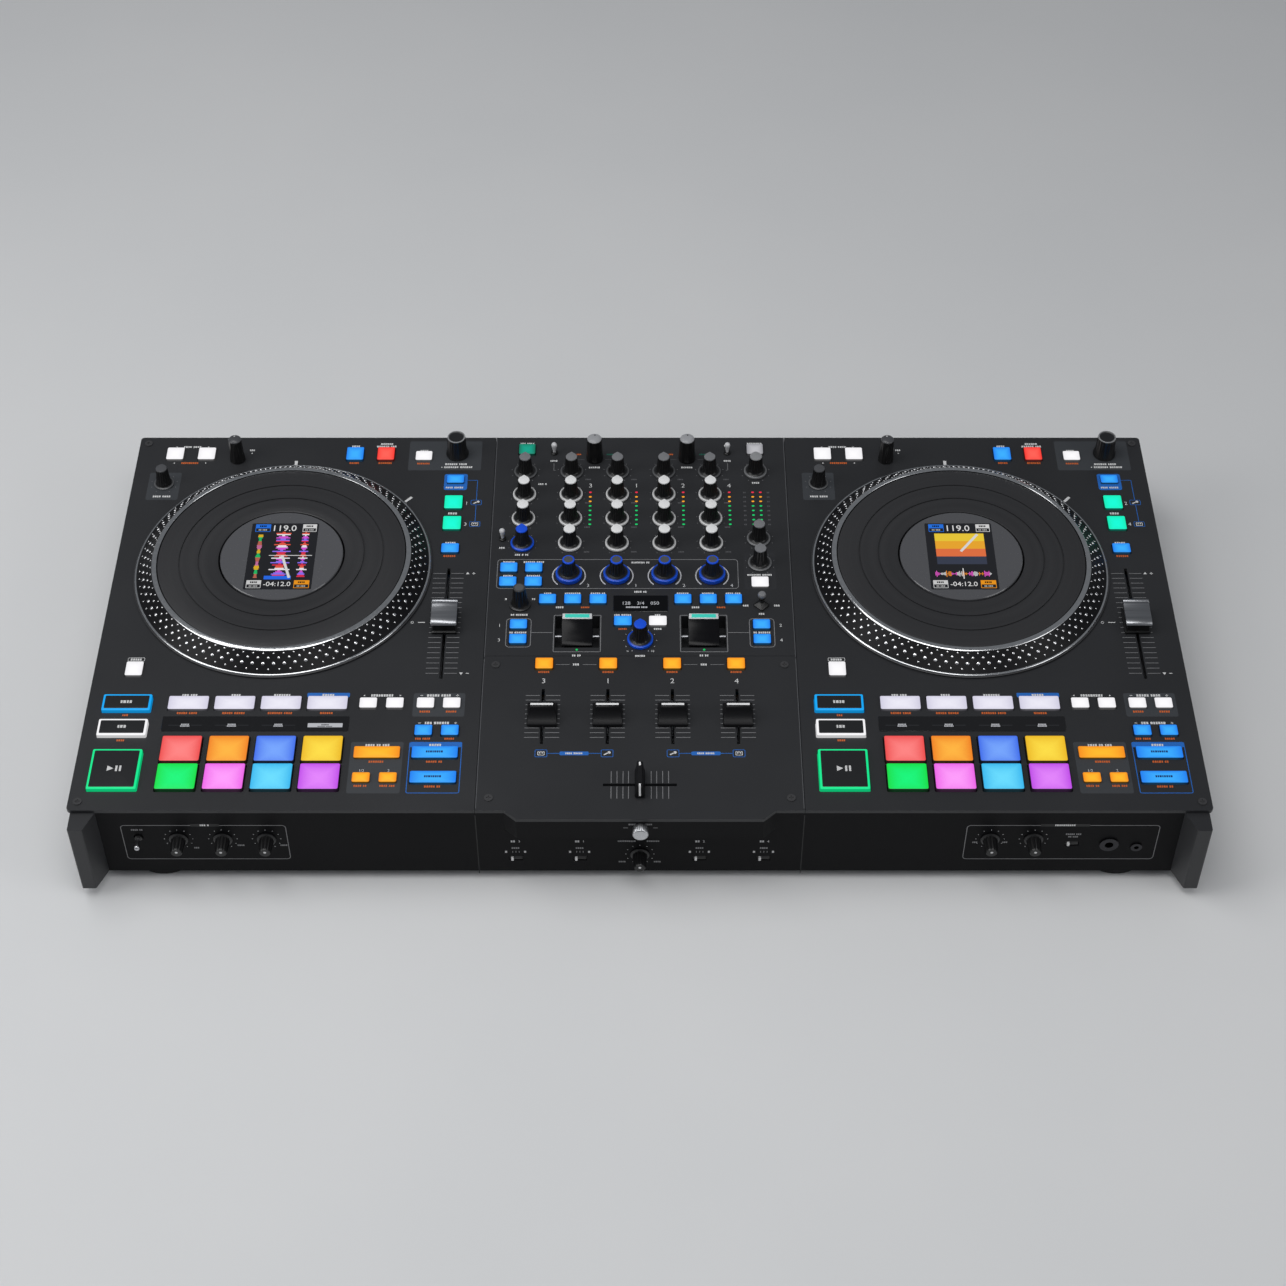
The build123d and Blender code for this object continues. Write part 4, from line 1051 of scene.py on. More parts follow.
for side in ("left", "right"):
    node = f"{side}_pads"
    low, high = (np.array(corner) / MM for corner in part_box(node))
    middle = (low + high)[:2] / 2
    shape = Shape()
    width, depth = high[0] - low[0], high[1] - low[1]
    grid, place = stack(middle, width, depth, 2.0, [(0, low[2]), (0, MAT_HIGH)])
    shape.grid(grid, BLACK, 1, place=place)
    turn = np.linspace(0, np.pi / 2, 5)
    soft_edge = [(0.7 * (1 - math.cos(a)), high[2] - 0.7 + 0.7 * math.sin(a)) for a in turn]
    for row, colours in enumerate(PAD_COLOURS):
        for column, colour in enumerate(colours):
            spot = middle + PAD_SHIFT + ((column - 1.5) * PAD_PITCH[0], (0.5 - row) * PAD_PITCH[1])
            rings = [(0, MAT_HIGH - 0.05)] + soft_edge + [(6.0, high[2] - 0.02)]
            grid, place = stack(spot, *PAD_SIZE, 1.6, rings)
            # The walls and the start of the rounded edge carry painted shade: the tint at six hundredths of
            # its light.
            rows = [shaded(LIT[colour], 0.06)] * 4 + [LIT[colour]] * (len(rings) - 4)
            shape.grid(grid, rows, 0, place=place)
    shape.piece(f"{side}_pad_mat", node, [pad_silicone, knob_plastic], "pad_rubber", [node])
print("pads per deck:", sum(len(row) for row in PAD_COLOURS))

# %% [markdown]
# ## Knobs
# A mixer knob is a tapered fluted body that a fingertip can grip, on a flared skirt. The skirt's wall and the
# cap on top are moulded in the colour of the knob's job: white for tone, grey for gain, blue for effects. It
# is a turned surface whose radius is cut by flutes, and the cap swells towards its pointer by a bell curve.

# %% One knob from its centre, skirt radius and top
KNOB_GREY = tone(130, 131, 134)
KNOB_WHITE = tone(250, 250, 250)
KNOB_BLUE = tone(22, 88, 236)
SKIRT_GREY = tone(118, 119, 121)
SKIRT_WHITE = tone(228, 228, 228)
SKIRT_BLUE = tone(4, 88, 232)
SHAFT = 3.0
KNOB_LIFT = 0.4


def pointed_cap(spot, radius, low, high, swell, count=36):
    """A disc whose radius grows at the pointer: r = radius + swell * exp(-(angle from the pointer / 0.26)^2),
    with the edge rounded over the last four tenths of a millimetre. The pointer looks back."""
    around = circle(count)
    angle = np.arctan2(around[:, 1], around[:, 0]) - np.pi / 2
    angle = (angle + np.pi) % (2 * np.pi) - np.pi
    reach = radius + swell * np.exp(-((angle / 0.26) ** 2))
    rows = [(0, low), (0, high - 0.4), (0.12, high - 0.12), (0.45, high)]
    rings = [np.column_stack([around * (reach - cut)[:, None], np.full(count, z)]) for cut, z in rows]
    return np.array(rings) + spot


def knob_body(shape, spot, skirt, crown, low, high, wall, tint_wall):
    """Shaft, skirt wall, sloping shoulder and fluted body up to the crown, as one turned surface."""
    base = PLATE / MM + KNOB_LIFT
    rim = base + wall
    profile = [
        (SHAFT, low), (SHAFT, base), (skirt - 0.15, base), (skirt, base + 0.2), (skirt - 0.05, rim),
        (skirt - 0.45, rim + 0.3), (skirt * 0.80, rim + 0.55), (crown + 1.75, rim + 1.1),
        (crown + 1.3, rim + 2.2), (crown + 0.65, (base + high) / 2 + 1), (crown + 0.15, high - 1.5),
        (crown - 0.1, high - 0.8), (crown - 0.7, high - 0.5),
    ]
    fluted = [0] * 8 + [0.6, 1, 1, 0.4, 0]
    tints = [PLASTIC] * 2 + [tint_wall] * 4 + [PLASTIC] * 7
    shape.grid(turned(spot, profile, 72, 18, 0.5, fluted), tints)


def knob(shape, box, cap_tint, skirt_tint, wall=1.5, crown=4.7, swell=1.1, inner=None):
    """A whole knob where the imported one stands: skirt radius and top come from its box."""
    (left, near, low), (right, far, high) = box
    spot = np.array([(left + right) / 2, (near + far) / 2, 0])
    skirt = (right - left) / 2
    knob_body(shape, spot, skirt, crown, low, high - 0.2, wall, skirt_tint)
    shape.grid(pointed_cap(spot, crown - 0.1, high - 1.0, high, swell), cap_tint)
    if inner:
        disc = [(crown - 1.3, high - 0.3), (crown - 1.3, high + 0.02), (crown - 1.8, high + 0.05)]
        shape.grid(turned(spot, disc, 32), inner)
        mark = spot + (0, crown - 1.5, 0)
        shape.grid(pointed_cap(mark, 0.35, high - 0.2, high + 0.08, 0.0, 8), WHITE)


# %% Tone, gain and microphone knobs, then the tall source and mode knobs
TALL_TOP = tone(78, 79, 82)


def tall_knob(shape, box, pointer, crown=TALL_TOP, mark=WHITE):
    """A plain selector: a slim fluted post with a domed top and a pointer line on its shoulder."""
    (left, near, low), (right, far, high) = box
    spot = np.array([(left + right) / 2, (near + far) / 2, 0])
    radius = (right - left) / 2
    base = PLATE / MM + KNOB_LIFT
    turn = np.linspace(0, np.pi / 2, 6)
    dome = [(radius * 0.86 * (0.25 + 0.75 * math.cos(a)), high - 2.4 + 2.4 * math.sin(a)) for a in turn]
    profile = [(SHAFT, low), (SHAFT, base), (radius, base), (radius, base + 2.0), (radius * 0.93, base + 6)]
    profile += dome
    fluted = [0, 0, 0, 0.3, 1] + [0.8] + [0] * 5
    shape.grid(turned(spot, profile, 64, 14, 0.45, fluted), [PLASTIC] * 6 + [crown] * 5)
    if pointer:
        ahead = np.array([math.cos(pointer), math.sin(pointer)]) * radius
        start, end = spot[:2] - ahead * 0.1, spot[:2] + ahead * 0.45
        stroke(shape, start, end, 1.0, mark, high - 0.9, high - 0.02)


knob_rows = rows_of("mixer_knobs")
shape = Shape()
for box in knob_rows[:4]:
    if abs(box.mean(0)[0]) < 60:
        tall_knob(shape, box, math.radians(80), tone(168, 169, 172), BLACK)
    else:
        tall_knob(shape, box, math.radians(100))
for box in knob_rows[4:9]:
    knob(shape, box, KNOB_GREY, tone(92, 93, 95), 0.9)
for box in np.concatenate([knob_rows[9:19], knob_rows[21:25]]):
    knob(shape, box, KNOB_WHITE, SKIRT_WHITE)
knob(shape, knob_rows[20], KNOB_BLUE, SKIRT_BLUE)
for box in (knob_rows[19], knob_rows[25]):
    knob(shape, box, KNOB_GREY, SKIRT_GREY, 0.9)
shape.piece("mixer_fluted_knobs", "case", [knob_plastic], "knob_black", ["mixer_knobs"])
print("fixed knobs:", len(knob_rows))

# %% Effect, main, select, scroll and stop-time knobs, each on its own body
effect_knob = (KNOB_BLUE, SKIRT_BLUE, 3.6, 4.9, 0.0, tone(84, 86, 90))
single = {f"channel_fx_knob_{number}": effect_knob for number in range(1, 5)}
single["main_volume_knob"] = (tone(152, 153, 155), SKIRT_GREY, 1.5, 5.0, 0.6, None)
single["fx_depth_knob"] = (KNOB_BLUE, SKIRT_BLUE, 2.0, 4.9, 0.9, None)
single["fx_select_knob"] = (tone(64, 65, 67), tone(46, 46, 48), 0.8, 4.8, 0.0, tone(92, 93, 95))
for side in ("left", "right"):
    single[f"{side}_stop_time_knob"] = (tone(84, 85, 88), tone(96, 97, 99), 0.7, 4.6, 0.5, None)

for node, (cap_tint, skirt_tint, wall, crown, swell, inner) in single.items():
    shape = Shape()
    knob(shape, solids(node)[0], cap_tint, skirt_tint, wall, crown, swell, inner)
    shape.piece(f"{node}_fluted", node, [knob_plastic], "knob_black", [node])

for side in ("left", "right"):
    node = f"{side}_scroll_knob"
    (left, near, low), (right, far, high) = solids(node)[0]
    spot = np.array([(left + right) / 2, (near + far) / 2, 0])
    base, radius = PLATE / MM + KNOB_LIFT, (right - left) / 2
    profile = [
        (SHAFT, low), (SHAFT, base), (radius - 0.3, base), (radius, base + 0.4),
        (radius - 0.1, base + 2.0), (8.0, base + 4), (7.6, high - 4), (7.5, high - 0.9), (7.2, high - 0.2),
        (6.7, high), (6.2, high - 0.1), (5.6, high - 0.75), (3.0, high - 1.05),
    ]
    fluted = [0] * 5 + [0.5, 1, 0.5, 0, 0, 0, 0, 0]
    tints = [PLASTIC] * 8 + [tone(150, 151, 153)] * 2 + [tone(92, 93, 95)] + [tone(34, 35, 37)] * 2
    wheel = Shape().grid(turned(spot, profile, 96, 24, 0.35, fluted), tints)
    wheel.piece(f"{side}_scroll_wheel", node, [knob_plastic], "knob_black", [node])
print("moving knobs:", len(single) + 2)

# %% [markdown]
# ## Knobs on the front face
# The front's knobs point at the reader: the same fluted body turned to look along -Y, with a pale dot on
# its end. The tension knob on the hood is bare knurled aluminium.

# %% Front knobs and the tension knob


def front_knob(shape, box, tint, lift):
    """A slim fluted body along -Y, its skirt against the panel, with a pale dot on its end."""
    (left, near, low), (right, far, high) = box
    spot = np.array([(left + right) / 2, 0, (low + high) / 2])
    radius = (right - left) / 2
    face = -near
    root = face - 13.0
    profile = [
        (SHAFT, -far), (SHAFT, root), (radius, root), (radius, root + 0.7), (radius - 1.4, root + 1.4),
        (radius - 2.4, face - 1.6), (radius - 2.7, face - 0.5), (radius - 3.2, face - 0.02),
    ]
    fluted = [0, 0, 0, 0, 0.8, 1, 0.6, 0]
    shape.grid(turned(spot, profile, 60, 14, 0.6, fluted, "y"), tint)
    mark = [(1.3, face - 0.8), (1.3, face - 0.05), (0.9, face)]
    shape.grid(turned(spot + (0, 0, lift), mark, 16, axis="y"), WHITE)


shape = Shape()
for box in rows_of("front_knobs"):
    front_knob(shape, box, PLASTIC, 0.7)
shape.piece("front_fluted_knobs", "case", [knob_plastic], "knob_black", ["front_knobs"])

(left, near, low), (right, far, high) = solids("fader_tension_knob")[0]
spot = np.array([(left + right) / 2, 0, (low + high) / 2])
profile = [
    (SHAFT, -far), (SHAFT, -near - 7.0), (5.7, -near - 7.0), (6.0, -near - 6.6), (5.95, -near - 1.0),
    (5.5, -near - 0.35), (4.9, -near - 0.05), (4.0, -near - 0.25), (1.0, -near - 0.3),
]
grid = turned(spot, profile, 120, 30, 0.28, [0, 0, 0, 1, 1, 0.6, 0, 0, 0], "y")
knurled = Shape().grid(grid)
node = "fader_tension_knob"
knurled.piece("knurled_tension_knob", node, [paints["knob_silver"]], "knob_silver", [node])
print("front knobs:", len(rows_of("front_knobs")) + 1)

# %% [markdown]
# ## Toggles, slides and the panning stick
# A toggle is a dark collar and a pale bat lever, thin at its foot and round at its end. The slide
# switches are dark wells with a pale slider. The panning stick stands in a diamond-shaped boot.

# %% Small switches
LEVER_WHITE = tone(222, 222, 224)


def toggle(shape, spot, axis, length, finish=1):
    """A dark collar, then a bat lever that widens to a rounded end, both turned about one axis."""
    end = [(2.3 * math.cos(a), length - 2.3 + 2.3 * math.sin(a)) for a in np.linspace(0.1, 1.3, 6)]
    collar = [(2.9, -0.3), (2.9, 1.2), (2.5, 1.5), (1.2, 1.6)]
    lever = [(1.1, 1.4), (1.2, 3.0), (1.8, length * 0.55), (2.2, length - 3.2)] + end
    shape.grid(turned(spot, collar, 28, axis=axis), BLACK, 1)
    shape.grid(turned(spot, lever, 28, axis=axis), LEVER_WHITE, finish)


def boxed(shape, low, high, inset, tint=BLACK):
    """A block with a softened top towards -Y: its ring shrinks by inset over the last part."""
    middle = np.array([(low[0] + high[0]) / 2, (low[2] + high[2]) / 2])
    rings = []
    for shrink, away in ((0, high[1]), (0, low[1] + inset), (inset, low[1])):
        ring = rounded(high[0] - low[0] - 2 * shrink, high[2] - low[2] - 2 * shrink, 0.5, 3) + middle
        rings.append(np.column_stack([ring[:, 0], np.full(len(ring), away), ring[:, 1]]))
    shape.grid(np.array(rings), tint)


boxes = rows_of("switches")
top_boxes = [box for box in boxes if box[0][2] > 70]
front_boxes = [box for box in boxes if box[0][2] < 70]
bright, plain = Shape(), Shape()
for box in top_boxes:
    middle = box.mean(0)
    spot = (middle[0], middle[1], PLATE / MM)
    if box[1][0] - box[0][0] < 8:
        toggle(bright, spot, "z", box[1][2] - PLATE / MM - 0.1)
    else:
        diamond = rounded(9.2, 9.2, 0.8) @ np.array([[1, 1], [-1, 1]]) * 0.7071
        rows = [(1.0, 0.0), (1.0, 1.2), (0.82, 2.2), (0.45, 3.4), (0.2, 6.0), (0.17, 8.5)]
        boot = [np.column_stack([diamond * wide, np.full(len(diamond), z)]) for wide, z in rows]
        plain.grid(np.array(boot) + spot, BLACK)
        stick = [(1.2, 7.5), (2.6, 8.2), (3.4, 10.0), (3.3, 12.6), (2.7, 13.6), (1.5, 14.0)]
        plain.grid(turned(spot, stick, 28, 10, 0.25, [0, 0, 1, 1, 0, 0]), [BLACK] * 3 + [KNOB_GREY] * 3)
for box in front_boxes:
    low, high = box
    middle = box.mean(0)
    if high[0] - low[0] < 7:
        toggle(bright, (middle[0], FRONT / MM, middle[2]), "y", -low[1] + FRONT / MM, 2)
    else:
        wall = FRONT / MM + 0.35
        well = (low[0] + 0.05, wall, low[2] + 0.05), (high[0] - 0.05, high[1], high[2] - 0.05)
        boxed(plain, *well, 0.3)
        west, east = low[0] + 1.1, low[0] + 2.9
        slider = (west, low[1] + 0.1, middle[2] - 1.75), (east, wall + 0.2, middle[2] + 1.75)
        boxed(plain, *slider, 0.3, WHITE)
toggle_paints = [paints["switch_metal"], knob_plastic, paints["socket_metal"]]
bright.piece("bright_toggles", "case", toggle_paints, "switch_metal", ["switches"])
plain.piece("slides_and_pan_stick", "case", [knob_plastic], "switch_metal")
print("toggles and switches:", len(top_boxes), "+", len(front_boxes))

# %% [markdown]
# ## Fader caps
# A fader cap is a pushed profile: the side view, drawn as a closed outline, is carried across the cap, with
# its ends drawn in a little. The channel caps have a narrow ridge with hollow slopes front and back, where
# the finger rests, and spread towards the foot. The pitch caps are drawn aluminium with a shallow scoop, a
# double bright edge behind it and a rounded front, on a black foot that also stands for the shadow under the
# overhang: painted shade. The crossfader's cap is a slim blade with a dip in the middle.

# %% Channel caps
CAP_HIGH = 12.5
RIDGE = [
    (2.15, 12.5), (2.75, 12.2), (3.0, 11.3), (3.4, 9.4), (4.3, 7.0), (5.9, 4.8), (8.3, 2.9), (10.6, 1.9),
    (11.0, 1.4), (11.0, 0.0),
]
CHANNEL_OUTLINE = [(-y, z) for y, z in RIDGE[::-1]] + RIDGE
END_STATIONS = ((1.0, 0.8), (0.985, 0.25), (0.95, 0.0))


def stations(half):
    """Where the outline stands along X, and how far it is drawn in, from the left end to the right."""
    left = [(-half * share, shrink) for share, shrink in END_STATIONS]
    return left + [(-x, shrink) for x, shrink in left[::-1]]


def stem(shape, box, thin, long):
    """The flat metal tongue that carries the cap down into the fader."""
    (left, near, low), (right, far, high) = box
    middle = ((left + right) / 2, (near + far) / 2)
    grid, place = stack(middle, thin, long, 0.3, [(0, low), (0, high - CAP_HIGH + 0.5)])
    shape.grid(grid, finish=2, place=place)


fader_paints = [paints["cap_black"], ink, paints["track_steel"]]
for number in range(1, 5):
    node = f"channel_fader_cap_{number}"
    box = solids(node)[0]
    (left, near, low), (right, far, high) = box
    spot = np.array([(left + right) / 2, (near + far) / 2, high - CAP_HIGH])
    grid = pushed(spot, CHANNEL_OUTLINE[::-1], stations((right - left) / 2))
    spread = 1 - 0.24 * (grid[..., 2] - spot[2]) / CAP_HIGH
    grid[..., 0] = spot[0] + (grid[..., 0] - spot[0]) * spread
    shape = Shape().grid(grid, PLASTIC)
    start, end = (spot[0] - 8.4, spot[1]), (spot[0] + 8.4, spot[1])
    stroke(shape, start, end, 1.9, BRIGHT_WHITE, high - 0.2, high + 0.02, 1)
    stem(shape, box, 1.4, 6.0)
    shape.piece(f"{node}_ridged", node, fader_paints, "cap_black", [node])
print("channel caps:", number)

# %% The crossfader's blade
box = solids("crossfader_cap")[0]
(left, near, low), (right, far, high) = box
spot = np.array([(left + right) / 2, (near + far) / 2])
rings = [(0, high - CAP_HIGH), (0, high - CAP_HIGH + 1.2), (0.9, high - 8.4), (1.5, high - 2.4)]
rings += [(1.8, high - 0.6), (2.3, high)]
grid, place = stack(spot, right - left, far - near, 1.4, rings)
DIP, DIP_REACH = 2.2, 5.5
lift = (grid[..., 2] - (high - CAP_HIGH)) / CAP_HIGH
grid[..., 2] -= DIP * lift * np.exp(-(((grid[..., 1] - spot[1]) / DIP_REACH) ** 2))
blade = Shape().grid(grid, PLASTIC, place=place)
stroke(blade, spot + (0, 7.0), spot + (0, 10.2), 1.3, BRIGHT_WHITE, high - 0.6, high + 0.02, 1)
FRONT_LINE = [
    (-12.6, 1.6), (-11.9, 4.1), (-11.3, 10.0), (-11.0, 11.7), (-10.5, 12.2), (-7.0, 11.85), (-7.0, 12.15),
    (-10.7, 12.5), (-11.26, 11.95), (-11.56, 10.1), (-12.2, 4.1), (-12.98, 1.6),
]
line_spot = (*spot, high - CAP_HIGH)
blade.grid(pushed(line_spot, FRONT_LINE, [(-0.7, 0), (0.7, 0)]), BRIGHT_WHITE, 1)
stem(blade, box, 6.0, 1.4)
blade.piece("crossfader_blade", "crossfader_cap", fader_paints, "cap_black", ["crossfader_cap"])
print("crossfader cap", round(right - left, 1), "x", round(far - near, 1), "mm")

# %% Pitch caps
PITCH_OUTLINE = [
    (-11.6, 7.6), (11.6, 7.6), (12.6, 8.4), (12.7, 10.6), (12.4, 11.8), (11.7, 12.4), (10.8, 12.5),
    (10.1, 12.1), (9.7, 11.7), (9.2, 11.7), (8.7, 12.05), (8.0, 12.05), (6.4, 11.6), (3.2, 11.15),
    (0.0, 11.0), (-3.2, 11.0), (-6.2, 11.1), (-8.6, 11.1), (-10.2, 10.8), (-11.4, 10.2), (-12.2, 9.4),
    (-12.6, 8.5),
]
for side in ("left", "right"):
    node = f"{side}_pitch_cap"
    box = solids(node)[0]
    (left, near, low), (right, far, high) = box
    spot = np.array([(left + right) / 2, (near + far) / 2, high - CAP_HIGH])
    grid = pushed(spot, PITCH_OUTLINE, stations((right - left) / 2))
    shape = Shape().grid(grid, PLASTIC)
    foot_low = high - CAP_HIGH
    # The black foot under the metal shell is a real foot and also painted shade: black for the shadow under
    # the overhang.
    rings = [(0, foot_low), (0, foot_low + 1.0), (1.3, foot_low + 1.5), (1.8, high - 4.8)]
    foot, place = stack(spot[:2], right - left, far - near, 0.8, rings)
    shape.grid(foot, BLACK, 1, place=place)
    stem(shape, box, 1.4, 6.0)
    slider_paints = [paints["cap_metal"], knob_plastic, paints["track_steel"]]
    shape.piece(f"{side}_pitch_slider", node, slider_paints, "cap_metal", [node])
print("pitch caps of", len(PITCH_OUTLINE), "outline points")

# %% [markdown]
# ## Effect paddles
# Each paddle is a glossy rocker on a cross pin in a slanted well. Its raised rear edge is a bar of frosted
# plastic with a lit strip let into it.

# %% Paddles
PADDLE_OUTLINE = [
    (-12.4, 78.3), (-3.5, 72.5), (3.5, 72.5), (13.2, 79.2), (13.6, 80.2), (14.4, 86.2), (14.0, 87.0),
    (12.4, 87.8), (11.4, 87.8), (5.0, 85.7), (-3.0, 83.2), (-9.5, 81.4), (-12.4, 80.5), (-13.0, 79.9),
    (-13.0, 78.9),
]
paddle_gloss = gloss("paddle_gloss", (0.004, 0.004, 0.005, 1), 0.16, 0.0, 60.0, 0.16)
frosted = tinted_paint("frosted", 0.30, 1500.0, 0.00003)
for side in ("left", "right"):
    node = f"{side}_fx_paddle"
    low, high = (np.array(corner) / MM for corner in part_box(node))
    pin_half = (high[0] - low[0]) / 2
    middle_x = (low[0] + high[0]) / 2
    axle_y = low[1] + 13.0
    shape = Shape().grid(pushed((middle_x, axle_y, 0), PADDLE_OUTLINE, stations(12.0)), PLASTIC)
    bar = [(8.6, 85.6), (13.9, 86.3), (14.2, 87.0), (13.5, 87.9), (11.4, 88.0), (9.0, 87.3), (8.4, 86.4)]
    shape.grid(pushed((middle_x, axle_y, 0), bar, stations(11.6)), tone(226, 228, 230), 1)
    strip = [(9.6, 87.0), (12.9, 87.4), (12.9, 87.98), (11.3, 88.05), (9.6, 87.62)]
    shape.grid(pushed((middle_x, axle_y, 0), strip, stations(9.8)), tone(60, 205, 190), 2)
    pin = [(1.5, -pin_half + 0.05), (1.5, -12.0), (1.5, 12.0), (1.5, pin_half - 0.05)]
    grid = turned((0, 0, 0), pin, 20)[..., [2, 0, 1]] + (middle_x, axle_y, 76.0)
    shape.grid(grid, finish=3)
    piece_paints = [paddle_gloss, frosted, lamp_plastic, paints["track_steel"]]
    shape.piece(f"{side}_rocker_paddle", node, piece_paints, "cap_black", [node])
    print(node, "axle at", round(axle_y, 1))

# %% [markdown]
# ## Indicator windows and lamps
# The label strips over the pads and the mixer's small screen are gloss black windows with small lit marks
# behind the glass. The level meters are columns of domed lamps: five green, two yellow and one red.

# %% Windows and meter lamps
LAMP_GREEN = tone(0, 196, 104)
LAMP_YELLOW = tone(248, 166, 30)
LAMP_RED = tone(232, 36, 72)
LAMP_TINTS = [LAMP_GREEN] * 5 + [LAMP_YELLOW] * 2 + [LAMP_RED]
LAMP_PITCH = 5.29
GLOW = tone(196, 198, 204)
STRIP_GREY = tone(60, 62, 66)

boxes = solids("indicator_windows")
wide = boxes[:, 1, 0] - boxes[:, 0, 0] > 5
shape = Shape()
for (left, near, low), (right, far, top) in boxes[wide]:
    middle = ((left + right) / 2, (near + far) / 2)
    rings = [(0, low), (0, top - 0.12), (0.15, top)]
    grid, place = stack(middle, right - left, far - near, 0.8, rings)
    shape.grid(grid, place=place)
    glass = (0, 0, top)
    if right - left > 60:
        for column in range(4):
            x = middle[0] + (column - 1.5) * PAD_PITCH[0]
            y = middle[1] - 1.6
            if column == 3 and middle[0] < 0:
                patch(shape, (x - 13, x + 13, y - 2.0, y + 2.0), GLOW, 0.4, top - 0.02, top + 0.03, 1)
                dashes(shape, x, y + 0.4, (6,), STRIP_GREY, 1.1, (0, 0, top + 0.03), finish=1)
                dashes(shape, x, y - 1.2, (9, 7), STRIP_GREY, 0.8, (0, 0, top + 0.03), finish=1)
            else:
                stroke(shape, (x - 12.5, y), (x - 4.5, y), 0.35, STRIP_GREY, top - 0.02, top + 0.04, 1)
                stroke(shape, (x + 4.5, y), (x + 12.5, y), 0.35, STRIP_GREY, top - 0.02, top + 0.04, 1)
                dashes(shape, x, y + 0.8, (6,), GLOW, 1.2, glass, finish=1)
                dashes(shape, x, y - 0.8, (7,), GLOW, 1.2, glass, finish=1)
    else:
        face = (left + 0.5, right - 0.5, near + 0.5, far - 0.5)
        patch(shape, face, SCREEN_BLACK, 0.4, top - 0.05, top + 0.01, 1)
        for words, offset in (("128", -11.0), ("3/4", 0.0), ("050", 11.0)):
            digits(shape, words, middle[0] + offset, middle[1] + 0.2, 4.6, GLOW, glass, finish=1)
        dashes(shape, middle[0] - 3.0, middle[1] - 4.2, (9, 4), GLOW, 1.5, glass, finish=1)
lamp_rows = boxes[~wide]
first_lamp = lamp_rows[:, :, 1].mean(1).min()
for (left, near, low), (right, far, top) in lamp_rows:
    middle = ((left + right) / 2, (near + far) / 2)
    step = round((middle[1] - first_lamp) / LAMP_PITCH)
    rings = [(0, low), (0, top - 0.3), (0.22, top - 0.15), (0.3, top - 0.12), (0.7, top)]
    grid, place = stack(middle, right - left, far - near, 1.05, rings)
    shape.grid(grid, [BLACK] * 3 + [LAMP_TINTS[step]] * 2, 2, place=place)
window_paints = [paints["window_black"], screen_glow, lamp_plastic]
shape.piece("windows_and_lamps", "case", window_paints, "window_black", ["indicator_windows"])
print("windows:", int(wide.sum()), "lamps:", len(lamp_rows))

# %% [markdown]
# ## Printing on the decks
# Marks are listed in the deck's own millimetres: across from its left edge and back from its front edge.
# White marks name what a key does, and orange ones below it what it does with shift. The two decks are alike,
# so one function prints both, and only the deck numbers differ.

# %% Lists of marks on a deck: across, back, word lengths, size. Fields: left, right, front, back, corner
DECK_LEFT = {"left": -415.0, "right": 119.5}
FRONT_EDGE = FRONT / MM
WHITE_MARKS = [
    (44, 386.0, (4, 4), 1.7), (179.5, 386.8, (4,), 1.7), (205, 389.6, (6,), 1.7),
    (205, 386.6, (6, 3), 1.7), (236.5, 381.4, (4,), 1.7), (263.5, 365.2, (6, 4), 1.7),
    (265.5, 361.6, (7, 6), 1.7), (26, 327.0, (4, 4), 1.7), (94, 382.0, (3,), 1.5),
    (263.7, 307.2, (4,), 1.9), (263.7, 273.6, (5,), 1.7), (30.5, 147.6, (5,), 1.7),
    (76, 111.3, (3, 3), 1.8), (110.8, 111.3, (4,), 1.8), (145.6, 111.3, (7,), 1.8),
    (180.4, 111.4, (5,), 1.8), (221, 111.0, (9,), 1.9), (263.8, 111.0, (5, 4), 1.9),
    (263.8, 83.6, (3, 6), 1.9), (221, 61.9, (4, 2, 3), 1.8), (263.7, 62.1, (5,), 1.8),
    (263.7, 337.4, (4, 5), 1.5),
]
ORANGE_MARKS = [
    (44, 366.6, (9,), 1.6), (179.5, 366.6, (5,), 1.6), (205, 366.6, (7,), 1.6), (236.5, 366.0, (7,), 1.5),
    (263.7, 258.8, (6,), 1.6), (30, 91.3, (3,), 1.5), (30, 66.6, (4,), 1.5), (76, 93.4, (5, 4), 1.6),
    (110.8, 93.4, (5, 5), 1.6), (145.6, 93.4, (7, 4), 1.6), (180.4, 93.4, (6,), 1.6),
    (254, 94.9, (5,), 1.6), (273.7, 94.9, (5,), 1.6), (254, 68.2, (3, 4), 1.5), (273.7, 68.2, (5,), 1.5),
    (221, 46.0, (7,), 1.6), (211, 23.0, (4, 2), 1.5), (230.7, 23.0, (4, 3), 1.5),
    (263.7, 46.0, (5, 2), 1.6), (263.7, 22.4, (5, 2), 1.6),
]
GREY_FIELDS = [
    (13.0, 39.0, 323.0, 355.0, 1.6), (224.0, 284.0, 358.0, 393.0, 1.6), (244.6, 283.5, 90.0, 113.3, 1.6),
    (201.2, 240.1, 16.0, 65.0, 1.6),
]
BLUE_FIELDS = [
    (254.7, 273.7, 334.6, 353.5, 2.0), (164.4, 196.4, 109.2, 113.6, 0.8), (244.4, 283.5, 60.0, 64.9, 1.2),
]
FIELD_HIGH = INK_LOW + 0.03
SIGNS = [(31, 386), (57, 386), (31, 366.6), (57, 366.6), (207.5, 111), (234.5, 111)]


def piano(shape, x, y, tint):
    """A plain icon of three keys in a frame."""
    outline(shape, (x - 2.6, x + 2.6, y - 1.9, y + 1.9), 0.5, tint, 0.5)
    for offset in (-0.9, 0.9):
        stroke(shape, (x + offset, y - 0.2), (x + offset, y + 1.8), 0.8, tint)


def microphone(shape, x, y, tint):
    """A plain icon: a slanted handle with a round head."""
    stroke(shape, (x - 2.4, y - 1.3), (x + 0.8, y + 0.5), 1.0, tint)
    dot(shape, x + 1.5, y + 0.9, 1.25, tint)


